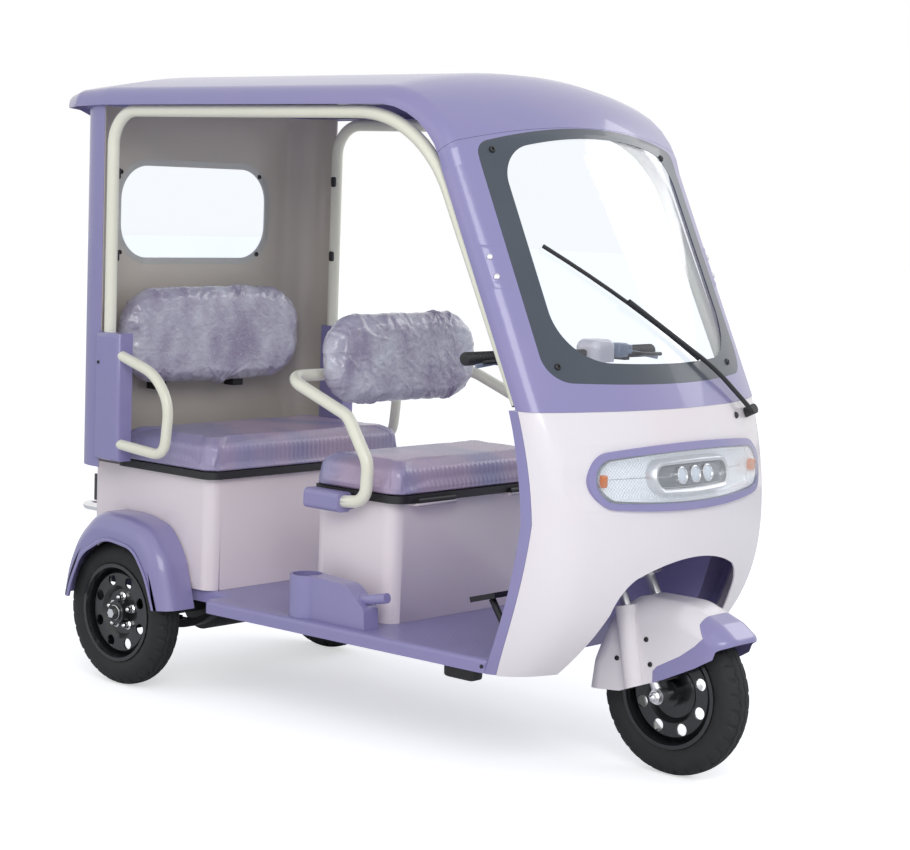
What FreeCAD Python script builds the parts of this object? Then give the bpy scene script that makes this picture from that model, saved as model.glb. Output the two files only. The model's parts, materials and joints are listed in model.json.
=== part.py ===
import FreeCAD, Part
import math
import os

# Roofed passenger electric tricycle: one steered front wheel, two driven rear wheels, a
# driver's seat and a rear bench under a moulded roof. Millimetres, +X is the heading,
# +Y the left-hand side, +Z up. While it is modelled, x is measured from the rear axle;
# at the end everything moves so that the origin is on the ground, midway along it.

V = FreeCAD.Vector
UP = V(0, 0, 1)
LEFT = V(0, 1, 0)

# ---------------------------------------------------------------- overall sizes
WHEELBASE = 1600.0
BODY_Y = 453.2             # half width of the front shell


def ahead(dx):
    """x of a place given from the front axle; negative is behind it."""
    return WHEELBASE + dx


TAIL_X = -336.0            # rear edge of the roof
NOSE_X = ahead(242.0)      # tip of the front mudguard
ORIGIN_X = (TAIL_X + NOSE_X) / 2

WALL = 4.0                 # moulded panels
SEAM = 0.3                 # between pieces that meet
EDGE_GAP = 1.0             # visible joint between body panels

# ---------------------------------------------------------------- wheels
TYRE_R, TYRE_W = 204.0, 90.0
RIM_R, RIM_W = 128.0, 76.0
DISC_T = 5.0
REAR_TRACK_Y = BODY_Y - 53.2   # centre plane of a rear wheel
STUB_R, STUB_GAP = 13.0, 0.6
RIM_HOLES, RIM_HOLE_R, RIM_HOLE_AT = 8, 15.0, 92.0
NUTS, NUT_AT, NUT_R = 5, 42.0, 9.0

# ---------------------------------------------------------------- floor and chassis
FLOOR_Z, SILL_Z = 298.0, 264.0
FLOOR_X0, FLOOR_X1 = -190.0, ahead(-250.0)
FLOOR_REAR_Y, FLOOR_MID_Y, FLOOR_FRONT_Y = REAR_TRACK_Y - 52.0, BODY_Y - 3.2, BODY_Y - 29.2
FLOOR_STEP_X = 372.0       # the floor is narrow behind this, between the wheels
RAIL_Y, RAIL_W, RAIL_H = 230.0, 40.0, 40.0

# ---------------------------------------------------------------- hoops round the doors
TUBE_R = 16.5
HOOP_Y = BODY_Y - 21.2
HOOP_TOP_Z, HOOP_REAR_X = 1584.5, -51.0
HOOP_FRONT = [(ahead(-508.0), HOOP_TOP_Z), (ahead(-176.4), 913.0)]   # top corner and foot of the raked leg

# ---------------------------------------------------------------- roof and windscreen
SLOPE = math.radians(25.5)             # windscreen, from the vertical
SCREEN_X, SCREEN_Z = ahead(-200.0), 1300.0    # a point of its middle line
ROOF_Z, ROOF_ARC_R = 1700.0, 350.0
PARTING_Z = 900.0


def slope_x(z):
    """x of the windscreen's middle line at a height."""
    return SCREEN_X + (SCREEN_Z - z) * math.tan(SLOPE)


def on_arc(turn):
    """Point of the middle line on the arc between roof and windscreen, by its normal's tilt."""
    cx = slope_x(ROOF_Z) - ROOF_ARC_R * math.tan((math.pi / 2 - SLOPE) / 2)
    return cx + ROOF_ARC_R * math.sin(turn), ROOF_Z - ROOF_ARC_R * (1 - math.cos(turn))


# ---------------------------------------------------------------- building blocks
def box(x0, x1, y0, y1, z0, z1):
    return Part.makeBox(x1 - x0, y1 - y0, z1 - z0, V(x0, y0, z0))


def fuse(shapes):
    return shapes[0].multiFuse(shapes[1:]).removeSplitter() if len(shapes) > 1 else shapes[0]


def mirrored(shape):
    return shape.mirror(V(0, 0, 0), LEFT)


def both_sides(shape):
    return [shape, mirrored(shape)]


def cylinder(radius, start, end):
    start, end = V(*start), V(*end)
    return Part.makeCylinder(radius, (end - start).Length, start, end - start)


def prism(wire, direction):
    return Part.Face(wire).extrude(direction)


def polygon(points):
    points = [V(*p) for p in points]
    return Part.makePolygon(points + points[:1])


def side_profile(points, y0, y1):
    """Prism across the vehicle from a side outline; a point (x, z, radius) is rounded."""
    corners = [V(p[0], y0, p[1]) for p in points]
    radii = [p[2] if len(p) > 2 else 0.0 for p in points]
    return prism(rounded_wire(corners, radii, closed=True), V(0, y1 - y0, 0))


def rounded_wire(corners, radii, closed=False):
    """Straight runs joined by tangent arcs of the given radii."""
    n, edges, last = len(corners), [], None
    first = None
    for i, corner in enumerate(corners):
        if radii[i] <= 0 or (not closed and i in (0, n - 1)):
            enter = leave = corner
        else:
            back = (corners[i - 1] - corner).normalize()
            ahead = (corners[(i + 1) % n] - corner).normalize()
            half = back.getAngle(ahead) / 2
            reach = radii[i] / math.tan(half)
            enter, leave = corner + back * reach, corner + ahead * reach
            middle = (back + ahead).normalize()
            near = corner + middle * (radii[i] / math.sin(half) - radii[i])
        if last is not None and (enter - last).Length > 1e-6:
            edges.append(Part.LineSegment(last, enter).toShape())
        if (leave - enter).Length > 1e-6:
            edges.append(Part.Arc(enter, near, leave).toShape())
        if first is None:
            first = enter
        last = leave
    if closed and (first - last).Length > 1e-6:
        edges.append(Part.LineSegment(last, first).toShape())
    return Part.Wire(edges)


def inset_outline(points, d):
    """Side outline (x, z, radius) moved inwards by d; points run clockwise seen from the right."""
    out, n = [], len(points)
    for i, p in enumerate(points):
        a, b = points[i - 1], points[(i + 1) % n]
        u = V(p[0] - a[0], 0, p[1] - a[1]).normalize()
        v = V(b[0] - p[0], 0, b[1] - p[1]).normalize()
        nu, nv = V(u.z, 0, -u.x), V(v.z, 0, -v.x)
        m = (nu + nv) * (d / (1 + nu.dot(nv)))
        convex = u.z * v.x - u.x * v.z > 0
        r = p[2] if len(p) > 2 else 0.0
        out.append((p[0] + m.x, p[1] + m.z, max(r - d, 0.5) if r and convex else (r + d if r else 0.0)))
    return out


def bent_tube(points, radii, radius, bore=0.0):
    """Round tube along straight runs and tangent arcs."""
    path = rounded_wire([V(*p) for p in points], radii)
    start = path.Edges[0]
    along = start.tangentAt(start.FirstParameter)
    at = start.valueAt(start.FirstParameter)

    def sweep(r):
        ring = Part.Wire(Part.makeCircle(r, at, along))
        return path.makePipeShell([ring], True, True)
    tube = sweep(radius)
    return tube.cut(sweep(bore)) if bore else tube


def corner_drop(half, crown_r, corner_r):
    """How far the corner's centre lies below the crown's top."""
    return crown_r - math.sqrt((crown_r - corner_r) ** 2 - (half - corner_r) ** 2)


def arch_points(half, crown_r, corner_r, flange, inset):
    """Right half of a crowned section: side end, side top, corner, join and crown, as (y, n)."""
    cy, cn = half - corner_r, -corner_drop(half, crown_r, corner_r)
    lean = math.atan2(cy, cn + crown_r)
    r, big = corner_r - inset, crown_r - inset
    mid = (lean + math.pi / 2) / 2
    return [(cy + r, cn - flange), (cy + r, cn), (cy + r * math.sin(mid), cn + r * math.cos(mid)),
            (big * math.sin(lean), big * math.cos(lean) - crown_r), (0.0, -inset)]


def arch_wire(section, inset0, inset1, x, z, turn):
    """Closed C-shaped wire between two insets, across the vehicle at (x, z), tilted by turn."""
    nx, nz = math.sin(turn), math.cos(turn)

    def at(y, n):
        return V(x + n * nx, y, z + n * nz)

    def run(inset):
        end, top, corner, join, crown = arch_points(*section, inset)
        flip = lambda p: at(-p[0], p[1])
        go = lambda p: at(*p)
        return [(go(end), go(top)), (go(top), go(corner), go(join)), (go(join), go(crown), flip(join)),
                (flip(join), flip(corner), flip(top)), (flip(top), flip(end))]

    outer, inner = run(inset0), run(inset1)
    edges = []
    for piece in outer + [(outer[-1][-1], inner[-1][-1])] + [p[::-1] for p in inner[::-1]] \
            + [(inner[0][0], outer[0][0])]:
        make = Part.Arc if len(piece) == 3 else Part.LineSegment
        edges.append(make(*piece).toShape())
    return Part.Wire(edges)


def filled_wire(section, inset, x, z, turn):
    """Closed section filled to its flange ends."""
    nx, nz = math.sin(turn), math.cos(turn)
    end, top, corner, join, crown = arch_points(*section, inset)
    at = lambda y, n: V(x + n * nx, y, z + n * nz)
    flip = lambda p: at(-p[0], p[1])
    go = lambda p: at(*p)
    parts = [(go(end), go(top)), (go(top), go(corner), go(join)), (go(join), go(crown), flip(join)),
             (flip(join), flip(corner), flip(top)), (flip(top), flip(end)), (flip(end), go(end))]
    return Part.Wire([(Part.Arc if len(p) == 3 else Part.LineSegment)(*p).toShape() for p in parts])


def padded_block(x0, x1, half_y, z0, z1, plan_r, edge_r):
    """Cushion: rounded in plan and along its upper edge."""
    block = box(x0, x1, -half_y, half_y, z0, z1)
    block = block.makeFillet(plan_r, [e for e in block.Edges if abs(e.tangentAt(e.FirstParameter).z) > 0.9])
    top = [e for e in block.Edges if e.BoundBox.ZMin > z1 - 1]
    return block.makeFillet(edge_r, top)


def tilted_pad(x, z, half_y, half_z, thick, lean, edge_r, round_z):
    """Backrest pad: a stadium-like outline, extruded and rounded, leaning back by lean degrees."""
    c = [V(0, -half_y, -half_z), V(0, half_y, -half_z), V(0, half_y, half_z), V(0, -half_y, half_z)]
    outline = rounded_wire(c, [round_z] * 4, closed=True)
    pad = prism(outline, V(thick, 0, 0))
    pad = pad.makeFillet(edge_r, [e for e in pad.Edges if abs(e.BoundBox.XMin - e.BoundBox.XMax) < 1e-3])
    pad.rotate(V(0, 0, 0), LEFT, -lean)
    pad.translate(V(x, 0, z))
    return pad


# ================================================================ roof and windscreen surround
FULL_TURN = math.pi / 2 - SLOPE
ARC_STEPS = 7
#                half width, crown r, corner r, flange
ROOF_SECTION = (BODY_Y + 10.8, 1900.0, 44.0, 6.4)
SCREEN_SECTION = (BODY_Y, 1110.0, 46.0, 10.0)
FOOT_SECTION = (BODY_Y, 1060.0, 50.0, 8.0)
#                x       z       half width, crown r, corner r, flange: the roof's drooping rear edge
ROOF_TAIL = [
    (TAIL_X,       1612.0, (BODY_Y - 23.2, 4200.0, 12.0, 5.0)),
    (-312.0,       1640.0, (BODY_Y - 7.2, 3400.0, 20.0, 5.0)),
    (-262.0,       1664.0, (BODY_Y + 2.8, 2600.0, 32.0, 6.0)),
    (-180.0,       1684.0, (BODY_Y + 7.8, 2100.0, 40.0, 6.0)),
    (-60.0,        1697.0, ROOF_SECTION),
]


def blend(a, b, t):
    return tuple(p + (q - p) * t for p, q in zip(a, b))


# rows of the canopy: x, z of the middle line, tilt of its normal, section
CANOPY = [(x, z, 0.0, section) for x, z, section in ROOF_TAIL]
CANOPY += [(*on_arc(FULL_TURN * i / ARC_STEPS), FULL_TURN * i / ARC_STEPS, blend(ROOF_SECTION, SCREEN_SECTION, i / ARC_STEPS))
           for i in range(ARC_STEPS + 1)]
CANOPY += [(slope_x(868.0), 868.0, FULL_TURN, FOOT_SECTION)]
SCREEN_ROWS = CANOPY[len(ROOF_TAIL) + ARC_STEPS - 3:]


def canopy_shell(inset0, inset1, rows):
    return Part.makeLoft([arch_wire(sec, inset0, inset1, x, z, turn) for x, z, turn, sec in rows], True, True)


# windscreen opening, measured in the windscreen's plane from its middle point
#                 half top, half bottom, z top, z bottom, rise of top edge, dip of bottom edge, radii
SCREEN_OUT = dict(top_y=BODY_Y - 65.2, low_y=BODY_Y - 61.2, top_z=1543.0, low_z=1000.0, rise=24.0, dip=42.0, r_top=34.0, r_low=80.0)
SCREEN_BORDER = dict(side=56.0, top=26.0, low=40.0, r_top=96.0, r_low=150.0)


def screen_prism(top_y, low_y, top_z, low_z, rise, dip, r_top, r_low, grow=0.0):
    """Prism along the windscreen's normal over its outline."""
    normal = V(math.cos(SLOPE), 0, math.sin(SLOPE))
    up = V(-math.sin(SLOPE), 0, math.cos(SLOPE))
    middle = V(SCREEN_X, 0, SCREEN_Z)

    def at(y, z):
        return middle + LEFT * y + up * ((z - SCREEN_Z) / math.cos(SLOPE)) - normal * 150
    t, l = top_z + grow, low_z - grow
    ty, ly = top_y + grow, low_y + grow
    a, b, c, d = at(-ly, l), at(ly, l), at(ty, t), at(-ty, t)
    wire = Part.Wire([Part.Arc(a, at(0, l - dip), b).toShape(), Part.LineSegment(b, c).toShape(),
                      Part.Arc(c, at(0, t + rise), d).toShape(), Part.LineSegment(d, a).toShape()])
    solid = prism(wire, normal * 260)
    for radius, low in ((r_low, True), (r_top, False)):
        rims = [e for e in solid.Edges if abs(e.Length - 260) < 1e-3 and isinstance(e.Curve, Part.Line)
                and (e.CenterOfMass.z < SCREEN_Z) == low and abs(abs(e.CenterOfMass.y) - (ly if low else ty)) < 1e-3]
        solid = solid.makeFillet(radius + grow, rims)
    return solid


PANE_OUTLINE = screen_prism(**SCREEN_OUT)
clear = dict(top_y=SCREEN_OUT["top_y"] - SCREEN_BORDER["side"], low_y=SCREEN_OUT["low_y"] - SCREEN_BORDER["side"],
             top_z=SCREEN_OUT["top_z"] - SCREEN_BORDER["top"], low_z=SCREEN_OUT["low_z"] + SCREEN_BORDER["low"],
             rise=SCREEN_OUT["rise"], dip=SCREEN_OUT["dip"] - 6, r_top=SCREEN_BORDER["r_top"], r_low=SCREEN_BORDER["r_low"])
CLEAR_OUTLINE = screen_prism(**clear)

BORDER_T = 1.2
canopy = canopy_shell(0.0, WALL, CANOPY)
pane = canopy_shell(BORDER_T + SEAM, WALL + 1.0, SCREEN_ROWS).common(PANE_OUTLINE)
border = canopy_shell(0.0, BORDER_T, SCREEN_ROWS).common(PANE_OUTLINE).cut(CLEAR_OUTLINE)
screen_hole = screen_prism(**SCREEN_OUT, grow=SEAM)

# the joint between roof and surround lies across the arc, above the windscreen
JOINT_TURN = math.radians(52)
jx, jz = on_arc(JOINT_TURN)
joint = Part.makeBox(900, 1200, 700, V(0, -600, -550))          # everything ahead of the joint
joint.rotate(V(0, 0, 0), LEFT, math.degrees(JOINT_TURN))
joint.translate(V(jx, 0, jz))
gap = Part.makeBox(EDGE_GAP, 1200, 700, V(-EDGE_GAP, -600, -550))
gap.rotate(V(0, 0, 0), LEFT, math.degrees(JOINT_TURN))
gap.translate(V(jx, 0, jz))
roof = canopy.cut(joint).cut(gap)
LEDGE_Y, LEDGE_X0, LEDGE_X1 = HOOP_Y - 16.0, -180.0, ahead(-640.0)     # return lip that rests on the hoops
ledge_z = HOOP_TOP_Z + TUBE_R + 0.5
ledge = box(LEDGE_X0, LEDGE_X1, -BODY_Y - 7.8, -LEDGE_Y, ledge_z, ledge_z + WALL)
roof = fuse([roof] + both_sides(ledge))
surround = canopy.common(joint).cut(box(ahead(-700), NOSE_X, -600, 600, 0, PARTING_Z + EDGE_GAP / 2)).cut(screen_hole)

# ================================================================ front shell and leg shield
#           z      nose x  half width, crown r, corner r
SHELL = [
    (905.0, ahead(-12.0), (BODY_Y, 960.0, 66.0)),
    (770.0, ahead(22.0), (BODY_Y - 0.2, 1050.0, 118.0)),
    (620.0, ahead(40.0), (BODY_Y - 0.2, 1100.0, 156.0)),
    (480.0, ahead(24.0), (BODY_Y - 3.2, 1100.0, 156.0)),
    (370.0, ahead(-20.0), (BODY_Y - 9.2, 1050.0, 150.0)),
    (262.0, ahead(-100.0), (BODY_Y - 27.2, 950.0, 130.0)),
]
SHELL_BACK = ahead(-350.0)
DOOR = [(ahead(-166.0), 918.0), (ahead(-128.0), 780.0), (ahead(-111.0), 640.0), (ahead(-136.0), 500.0), (ahead(-232.0), 255.0)]
STRIP_W, STRIP_T = 28.0, 14.0


def shell_loft(inset0, inset1, filled=False):
    wires = []
    for z, nose, (half, crown_r, corner_r) in SHELL:
        section = (half, crown_r, corner_r, nose - SHELL_BACK - corner_drop(half, crown_r, corner_r))
        if filled:
            wires.append(filled_wire(section, inset0, nose, z, math.pi / 2))
        else:
            wires.append(arch_wire(section, inset0, inset1, nose, z, math.pi / 2))
    return Part.makeLoft(wires, True, False)


def door_band(back, front):
    """Prism between the door's curve moved back by two distances."""
    def curve(shift):
        p = [V(x - shift, -700, z) for x, z in DOOR]
        return [Part.Arc(p[0], p[1], p[2]).toShape(), Part.Arc(p[2], p[3], p[4]).toShape()], p[0], p[-1]
    rear, r0, r1 = curve(back)
    fore, f0, f1 = curve(front)
    wire = Part.Wire(Part.__sortEdges__(rear + [Part.LineSegment(r0, f0).toShape(), Part.LineSegment(r1, f1).toShape()] + fore))
    return prism(wire, V(0, 1400, 0))


ARCH = [(-296.0, 200.0), (-272.0, 330.0), (-246.0, 420.0), (-196.0, 505.0), (0.0, 543.0)]   # (y, z) of the lip


def arch_prism(grow=0.0, x0=ahead(-400.0), x1=ahead(200.0)):
    left = [V(x0, y - grow, z) for y, z in ARCH[:3]]
    right = [V(x0, -p.y, p.z) for p in left[::-1]]
    top_l, top = V(x0, ARCH[3][0] - grow * 0.6, ARCH[3][1] + grow * 0.8), V(x0, 0, ARCH[4][1] + grow)
    edges = [Part.Arc(left[0], left[1], left[2]).toShape(),
             Part.Arc(left[2], V(x0, -236.0 - grow * 0.8, 462.0 + grow * 0.5), top_l).toShape(),
             Part.Arc(top_l, top, V(x0, -top_l.y, top_l.z)).toShape(),
             Part.Arc(V(x0, -top_l.y, top_l.z), V(x0, 236.0 + grow * 0.8, 462.0 + grow * 0.5), right[0]).toShape(),
             Part.Arc(right[0], right[1], right[2]).toShape(),
             Part.LineSegment(right[2], left[0]).toShape()]
    return prism(Part.Wire(edges), V(x1 - x0, 0, 0))


# headlamp: a band round the nose with half-round ends
LAMP_Z, LAMP_H, LAMP_HALF = 748.0, 156.0, BODY_Y - 51.2
BEZEL_W = 20.0


def lamp_prism(shrink, x0=ahead(-160.0), x1=ahead(160.0)):
    h = LAMP_H / 2 - shrink
    y = LAMP_HALF - shrink
    c = [V(x0, -y, LAMP_Z - h), V(x0, y, LAMP_Z - h), V(x0, y, LAMP_Z + h), V(x0, -y, LAMP_Z + h)]
    return prism(rounded_wire(c, [h * 0.98] * 4, closed=True), V(x1 - x0, 0, 0))


shell_solid = shell_loft(0.0, WALL)
ahead_of_door = box(SHELL_BACK - 50, NOSE_X, -600, 600, 200, 950).cut(door_band(400.0, 0.0))
front_shell = shell_solid.common(ahead_of_door).cut(arch_prism()).cut(lamp_prism(2.0))
above_parting = box(SHELL_BACK - 50, NOSE_X, -600, 600, PARTING_Z - EDGE_GAP / 2, PARTING_Z + 100)
front_shell = front_shell.cut(above_parting)

lamp_bezel = shell_loft(-7.0, WALL).common(lamp_prism(2.0 + SEAM).cut(lamp_prism(BEZEL_W)))
lens = shell_loft(-10.0, -7.0).common(lamp_prism(BEZEL_W + SEAM))
LAMP_DEPTH = 34.0
lamp_housing = shell_loft(WALL + SEAM, LAMP_DEPTH).common(lamp_prism(2.0))
lamp_housing = lamp_housing.cut(shell_loft(-12.0, LAMP_DEPTH - WALL).common(lamp_prism(BEZEL_W)))

strip = shell_loft(0.0, STRIP_T).common(door_band(STRIP_W, EDGE_GAP))
leg_panel = shell_loft(STRIP_T - 2.0, 0.0, filled=True).common(door_band(STRIP_W, STRIP_W - WALL))
HUMP = dict(x0=ahead(-300.0), x1=ahead(-60.0), y=276.0, top=556.0, lean=8.0, r=70.0)


def hump_solid(inset, below=0.0):
    """Block of the wheel housing behind the arch, drawn in by a distance."""
    x0, top = HUMP["x0"] + inset, HUMP["top"] - inset
    profile = [(HUMP["x1"], SILL_Z - below), (x0, SILL_Z - below), (x0 + HUMP["lean"], top, HUMP["r"] - inset), (HUMP["x1"], top)]
    return side_profile(profile, -HUMP["y"] + inset, HUMP["y"] - inset)


STEER_FOOT = V(ahead(-22.0), 0, TYRE_R)
STEER_TOP = V(ahead(-400.0), 0, 1000.0)
STEER = (STEER_TOP - STEER_FOOT).normalize()


def steer_at(z):
    return STEER_FOOT + STEER * ((z - STEER_FOOT.z) / STEER.z)


COLUMN_Y, COVER_X0, COVER_X1, COVER_Z1 = 92.0, ahead(-370.0), ahead(-90.0), 880.0
HEAD_R, STEM_R, STEM_GAP = 27.0, 18.0, 0.5
HOOD_BACK = 46.0


def cover_solid(inset, below=0.0):
    """Steering column's cover, drawn in by a distance."""
    x0, top, foot = COVER_X0 + inset, COVER_Z1 - inset, FLOOR_Z + SEAM - below
    hood = steer_at(COVER_Z1).x - HOOD_BACK + inset
    profile = [(COVER_X1, foot), (x0, foot), (x0, 600, 60 - inset), (hood, top, 24 - inset), (COVER_X1, top)]
    return side_profile(profile, -COLUMN_Y + inset, COLUMN_Y - inset)


filled_shell = shell_loft(STRIP_T - 2.0, 0.0, filled=True)
panel_band = door_band(STRIP_W, STRIP_W - WALL)
below_sill = box(SHELL_BACK - 50, NOSE_X, -600, 600, 100, SILL_Z)
leg_shield = fuse([strip, filled_shell.common(panel_band)]).cut(hump_solid(-SEAM, 20)).cut(cover_solid(-SEAM, 20)).cut(below_sill).cut(above_parting)
wheel_housing = hump_solid(0.0).cut(hump_solid(WALL, 50)).common(filled_shell).cut(door_band(-200.0, -30.0))
steering_way = cylinder(STEM_R + 6.0, tuple(steer_at(450)), tuple(steer_at(1000)))
wheel_housing = wheel_housing.cut(steering_way)
column_cover = cover_solid(0.0).cut(cover_solid(WALL, 50)).cut(hump_solid(-SEAM)).cut(door_band(-200.0, 20.0)).cut(steering_way)

# ================================================================ floor pan and chassis
plan = [(FLOOR_X0, FLOOR_REAR_Y), (FLOOR_STEP_X, FLOOR_REAR_Y), (FLOOR_STEP_X, FLOOR_MID_Y), (FLOOR_X1, FLOOR_FRONT_Y)]
radii = [20.0, 4.0, 26.0, 20.0]
corners = [V(x, -y, SILL_Z) for x, y in plan] + [V(x, y, SILL_Z) for x, y in plan[::-1]]
floor = prism(rounded_wire(corners, radii + radii[::-1], closed=True), UP * (FLOOR_Z - SILL_Z))
inset = [(FLOOR_X0 + WALL, FLOOR_REAR_Y - WALL), (FLOOR_STEP_X + WALL, FLOOR_REAR_Y - WALL),
         (FLOOR_STEP_X + WALL, FLOOR_MID_Y - WALL), (FLOOR_X1 - WALL, FLOOR_FRONT_Y - WALL)]
inner_corners = [V(x, -y, SILL_Z) for x, y in inset] + [V(x, y, SILL_Z) for x, y in inset[::-1]]
floor = floor.makeFillet(11.0, [e for e in floor.Edges if e.BoundBox.ZMin > FLOOR_Z - 1])
floor = floor.cut(prism(rounded_wire(inner_corners, [16.0, 2.0, 22.0, 16.0, 16.0, 22.0, 2.0, 16.0], closed=True), UP * (FLOOR_Z - SILL_Z - WALL)))
DOWN_X, DOWN_Y, DOWN_R = ahead(-344.0), 60.0, 13.0       # the two tubes that carry the steering head
for side in (-1, 1):
    floor = floor.cut(cylinder(DOWN_R + 3.0, (DOWN_X, side * DOWN_Y, SILL_Z - 60), (DOWN_X, side * DOWN_Y, FLOOR_Z + 60)))
floor = floor.cut(door_band(STRIP_W + SEAM, -300.0))
floor = floor.cut(box(HUMP["x0"] - EDGE_GAP, FLOOR_X1 + 50, -HUMP["y"] - EDGE_GAP, HUMP["y"] + EDGE_GAP, 0, FLOOR_Z + 60))

RAIL_TOP = FLOOR_Z - WALL - SEAM
RAIL_X0, RAIL_X1 = -170.0, ahead(-330.0)
rails = [box(RAIL_X0, RAIL_X1, y - RAIL_W / 2, y + RAIL_W / 2, RAIL_TOP - RAIL_H, RAIL_TOP) for y in (-RAIL_Y, RAIL_Y)]
CROSS = [-150.0, 210.0, 640.0, ahead(-540.0), ahead(-360.0)]
crosses = [box(x, x + 30, -RAIL_Y, RAIL_Y, RAIL_TOP - 34, RAIL_TOP - 4) for x in CROSS]
head = cylinder(HEAD_R, tuple(steer_at(600)), tuple(steer_at(830)))
down = []
for side in (-1, 1):
    down.append(bent_tube([(DOWN_X, side * DOWN_Y, RAIL_TOP - 20), (DOWN_X + 6, side * DOWN_Y, 560),
                           tuple(steer_at(700) + V(0, side * 14, 0))], [0, DOWN_Y, 0], DOWN_R))
chassis = fuse(rails + crosses + [head] + down).cut(cylinder(STEM_R + STEM_GAP, tuple(steer_at(560)), tuple(steer_at(870))))

# ================================================================ hoops
hoop_paths = [(HOOP_REAR_X, 640.0), (HOOP_REAR_X, HOOP_TOP_Z), HOOP_FRONT[0], HOOP_FRONT[1]]
hoop = bent_tube([(x, -HOOP_Y, z) for x, z in hoop_paths], [0, 92.0, 340.0, 0], TUBE_R, TUBE_R - 2.0)

# ================================================================ back wall
WALL_X0, WALL_X1, WALL_Y = -204.0, -70.0, BODY_Y - 4.2
WALL_Z0, WALL_Z1 = 604.3, 1601.2
back = box(WALL_X0, WALL_X1, -WALL_Y, WALL_Y, WALL_Z0, WALL_Z1)
back = back.makeFillet(34.0, [e for e in back.Edges if abs(e.tangentAt(e.FirstParameter).z) > 0.9 and e.BoundBox.XMax < WALL_X0 + 1])
hollow = box(WALL_X0 + WALL, WALL_X1 + 50, -WALL_Y + WALL, WALL_Y - WALL, WALL_Z0 - 50, WALL_Z1 + 50)
hollow = hollow.makeFillet(30.0, [e for e in hollow.Edges if abs(e.tangentAt(e.FirstParameter).z) > 0.9 and e.BoundBox.XMax < WALL_X0 + WALL + 1])
WINDOW = dict(y=278.0, z0=1178.0, z1=1440.0, r=96.0)


def window_prism(grow, x0=WALL_X0 - 20, x1=WALL_X0 + 40):
    y, z0, z1, r = WINDOW["y"] + grow, WINDOW["z0"] - grow, WINDOW["z1"] + grow, WINDOW["r"] + grow
    c = [V(x0, -y, z0), V(x0, y, z0), V(x0, y, z1), V(x0, -y, z1)]
    return prism(rounded_wire(c, [r] * 4, closed=True), V(x1 - x0, 0, 0))


back = back.cut(hollow).cut(window_prism(0.0))
rear_pane = window_prism(18.0, WALL_X0 + WALL + SEAM, WALL_X0 + WALL + SEAM + 3.0)
back = fuse([back])

# ================================================================ seats
REAR_BOX = dict(x0=WALL_X0, x1=307.0, y=REAR_TRACK_Y - 38.0, z0=FLOOR_Z + SEAM, z1=604.0)
FRONT_BOX = dict(x0=652.0, x1=920.0, y=304.0, z0=FLOOR_Z + SEAM, z1=610.0)


WELL_R, WELL_Y = TYRE_R + 22.0, REAR_TRACK_Y - TYRE_W / 2 - 7.0      # room beside each rear tyre
HINGE_R, HINGE_Y0, HINGE_Y1, LID_GAP = 6.0, 110.0, 250.0, 0.4
HINGE_SHELF = 5.0


def wheel_wells(inset):
    well = cylinder(WELL_R + inset, (0, WELL_Y - inset, TYRE_R), (0, REAR_TRACK_Y, TYRE_R))
    return Part.makeCompound(both_sides(well))


def seat_box(b, corner=38.0):
    outer = box(b["x0"], b["x1"], -b["y"], b["y"], b["z0"], b["z1"])
    outer = outer.makeFillet(corner, [e for e in outer.Edges if abs(e.tangentAt(e.FirstParameter).z) > 0.9])
    inner = box(b["x0"] + WALL, b["x1"] - WALL, -b["y"] + WALL, b["y"] - WALL, b["z0"] + WALL, b["z1"] + 1)
    inner = inner.makeFillet(corner - WALL, [e for e in inner.Edges if abs(e.tangentAt(e.FirstParameter).z) > 0.9])
    return outer.cut(wheel_wells(0.0)).cut(inner.cut(wheel_wells(WALL)))


BASE_T = 20.0
REAR_SEAT = dict(x0=-92.0, x1=322.0, y=REAR_TRACK_Y - 16.0, top=714.0)
FRONT_SEAT = dict(x0=630.0, x1=952.0, y=324.0, top=722.0)


def seat(b, s, hinge_x):
    """Lid board with its hinge barrels, and the cushion on it."""
    z0 = b["z1"] + LID_GAP
    base = box(s["x0"] + 4, s["x1"] - 4, -s["y"] + 4, s["y"] - 4, z0, z0 + BASE_T)
    base = base.makeFillet(40.0, [e for e in base.Edges if abs(e.tangentAt(e.FirstParameter).z) > 0.9])
    barrel = cylinder(HINGE_R, (hinge_x, HINGE_Y0, z0 + HINGE_R), (hinge_x, HINGE_Y1, z0 + HINGE_R))
    base = fuse([base] + both_sides(barrel))
    cushion = padded_block(s["x0"], s["x1"], s["y"], z0 + BASE_T + SEAM, s["top"], 44.0, 26.0)
    return base, cushion


rear_box, front_box = seat_box(REAR_BOX), seat_box(FRONT_BOX)
REAR_HINGE_X, FRONT_HINGE_X = REAR_SEAT["x0"] - 1.0, FRONT_SEAT["x1"] + 1.0
rear_base, rear_cushion = seat(REAR_BOX, REAR_SEAT, REAR_HINGE_X)
front_base, front_cushion = seat(FRONT_BOX, FRONT_SEAT, FRONT_HINGE_X)
# the shelf and the two brackets that the hinge barrels lie on
shelf = box(REAR_HINGE_X - 20, REAR_HINGE_X + 16, -REAR_BOX["y"] + WALL / 2, REAR_BOX["y"] - WALL / 2, REAR_BOX["z1"] - HINGE_SHELF, REAR_BOX["z1"])
rear_box = fuse([rear_box, shelf])
carrier = box(FRONT_BOX["x1"] - WALL / 2, FRONT_HINGE_X + HINGE_R, HINGE_Y0, HINGE_Y1, FRONT_BOX["z1"] - 8, FRONT_BOX["z1"])
front_box = fuse([front_box] + both_sides(carrier))

PAD_T = 84.0
rear_pad = tilted_pad(-160.0, 962.0, 358.0, 158.0, PAD_T, 0.0, 36.0, 120.0)
front_pad = tilted_pad(600.0, 955.0, 310.0, 138.0, PAD_T, 3.0, 36.0, 110.0)

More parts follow.
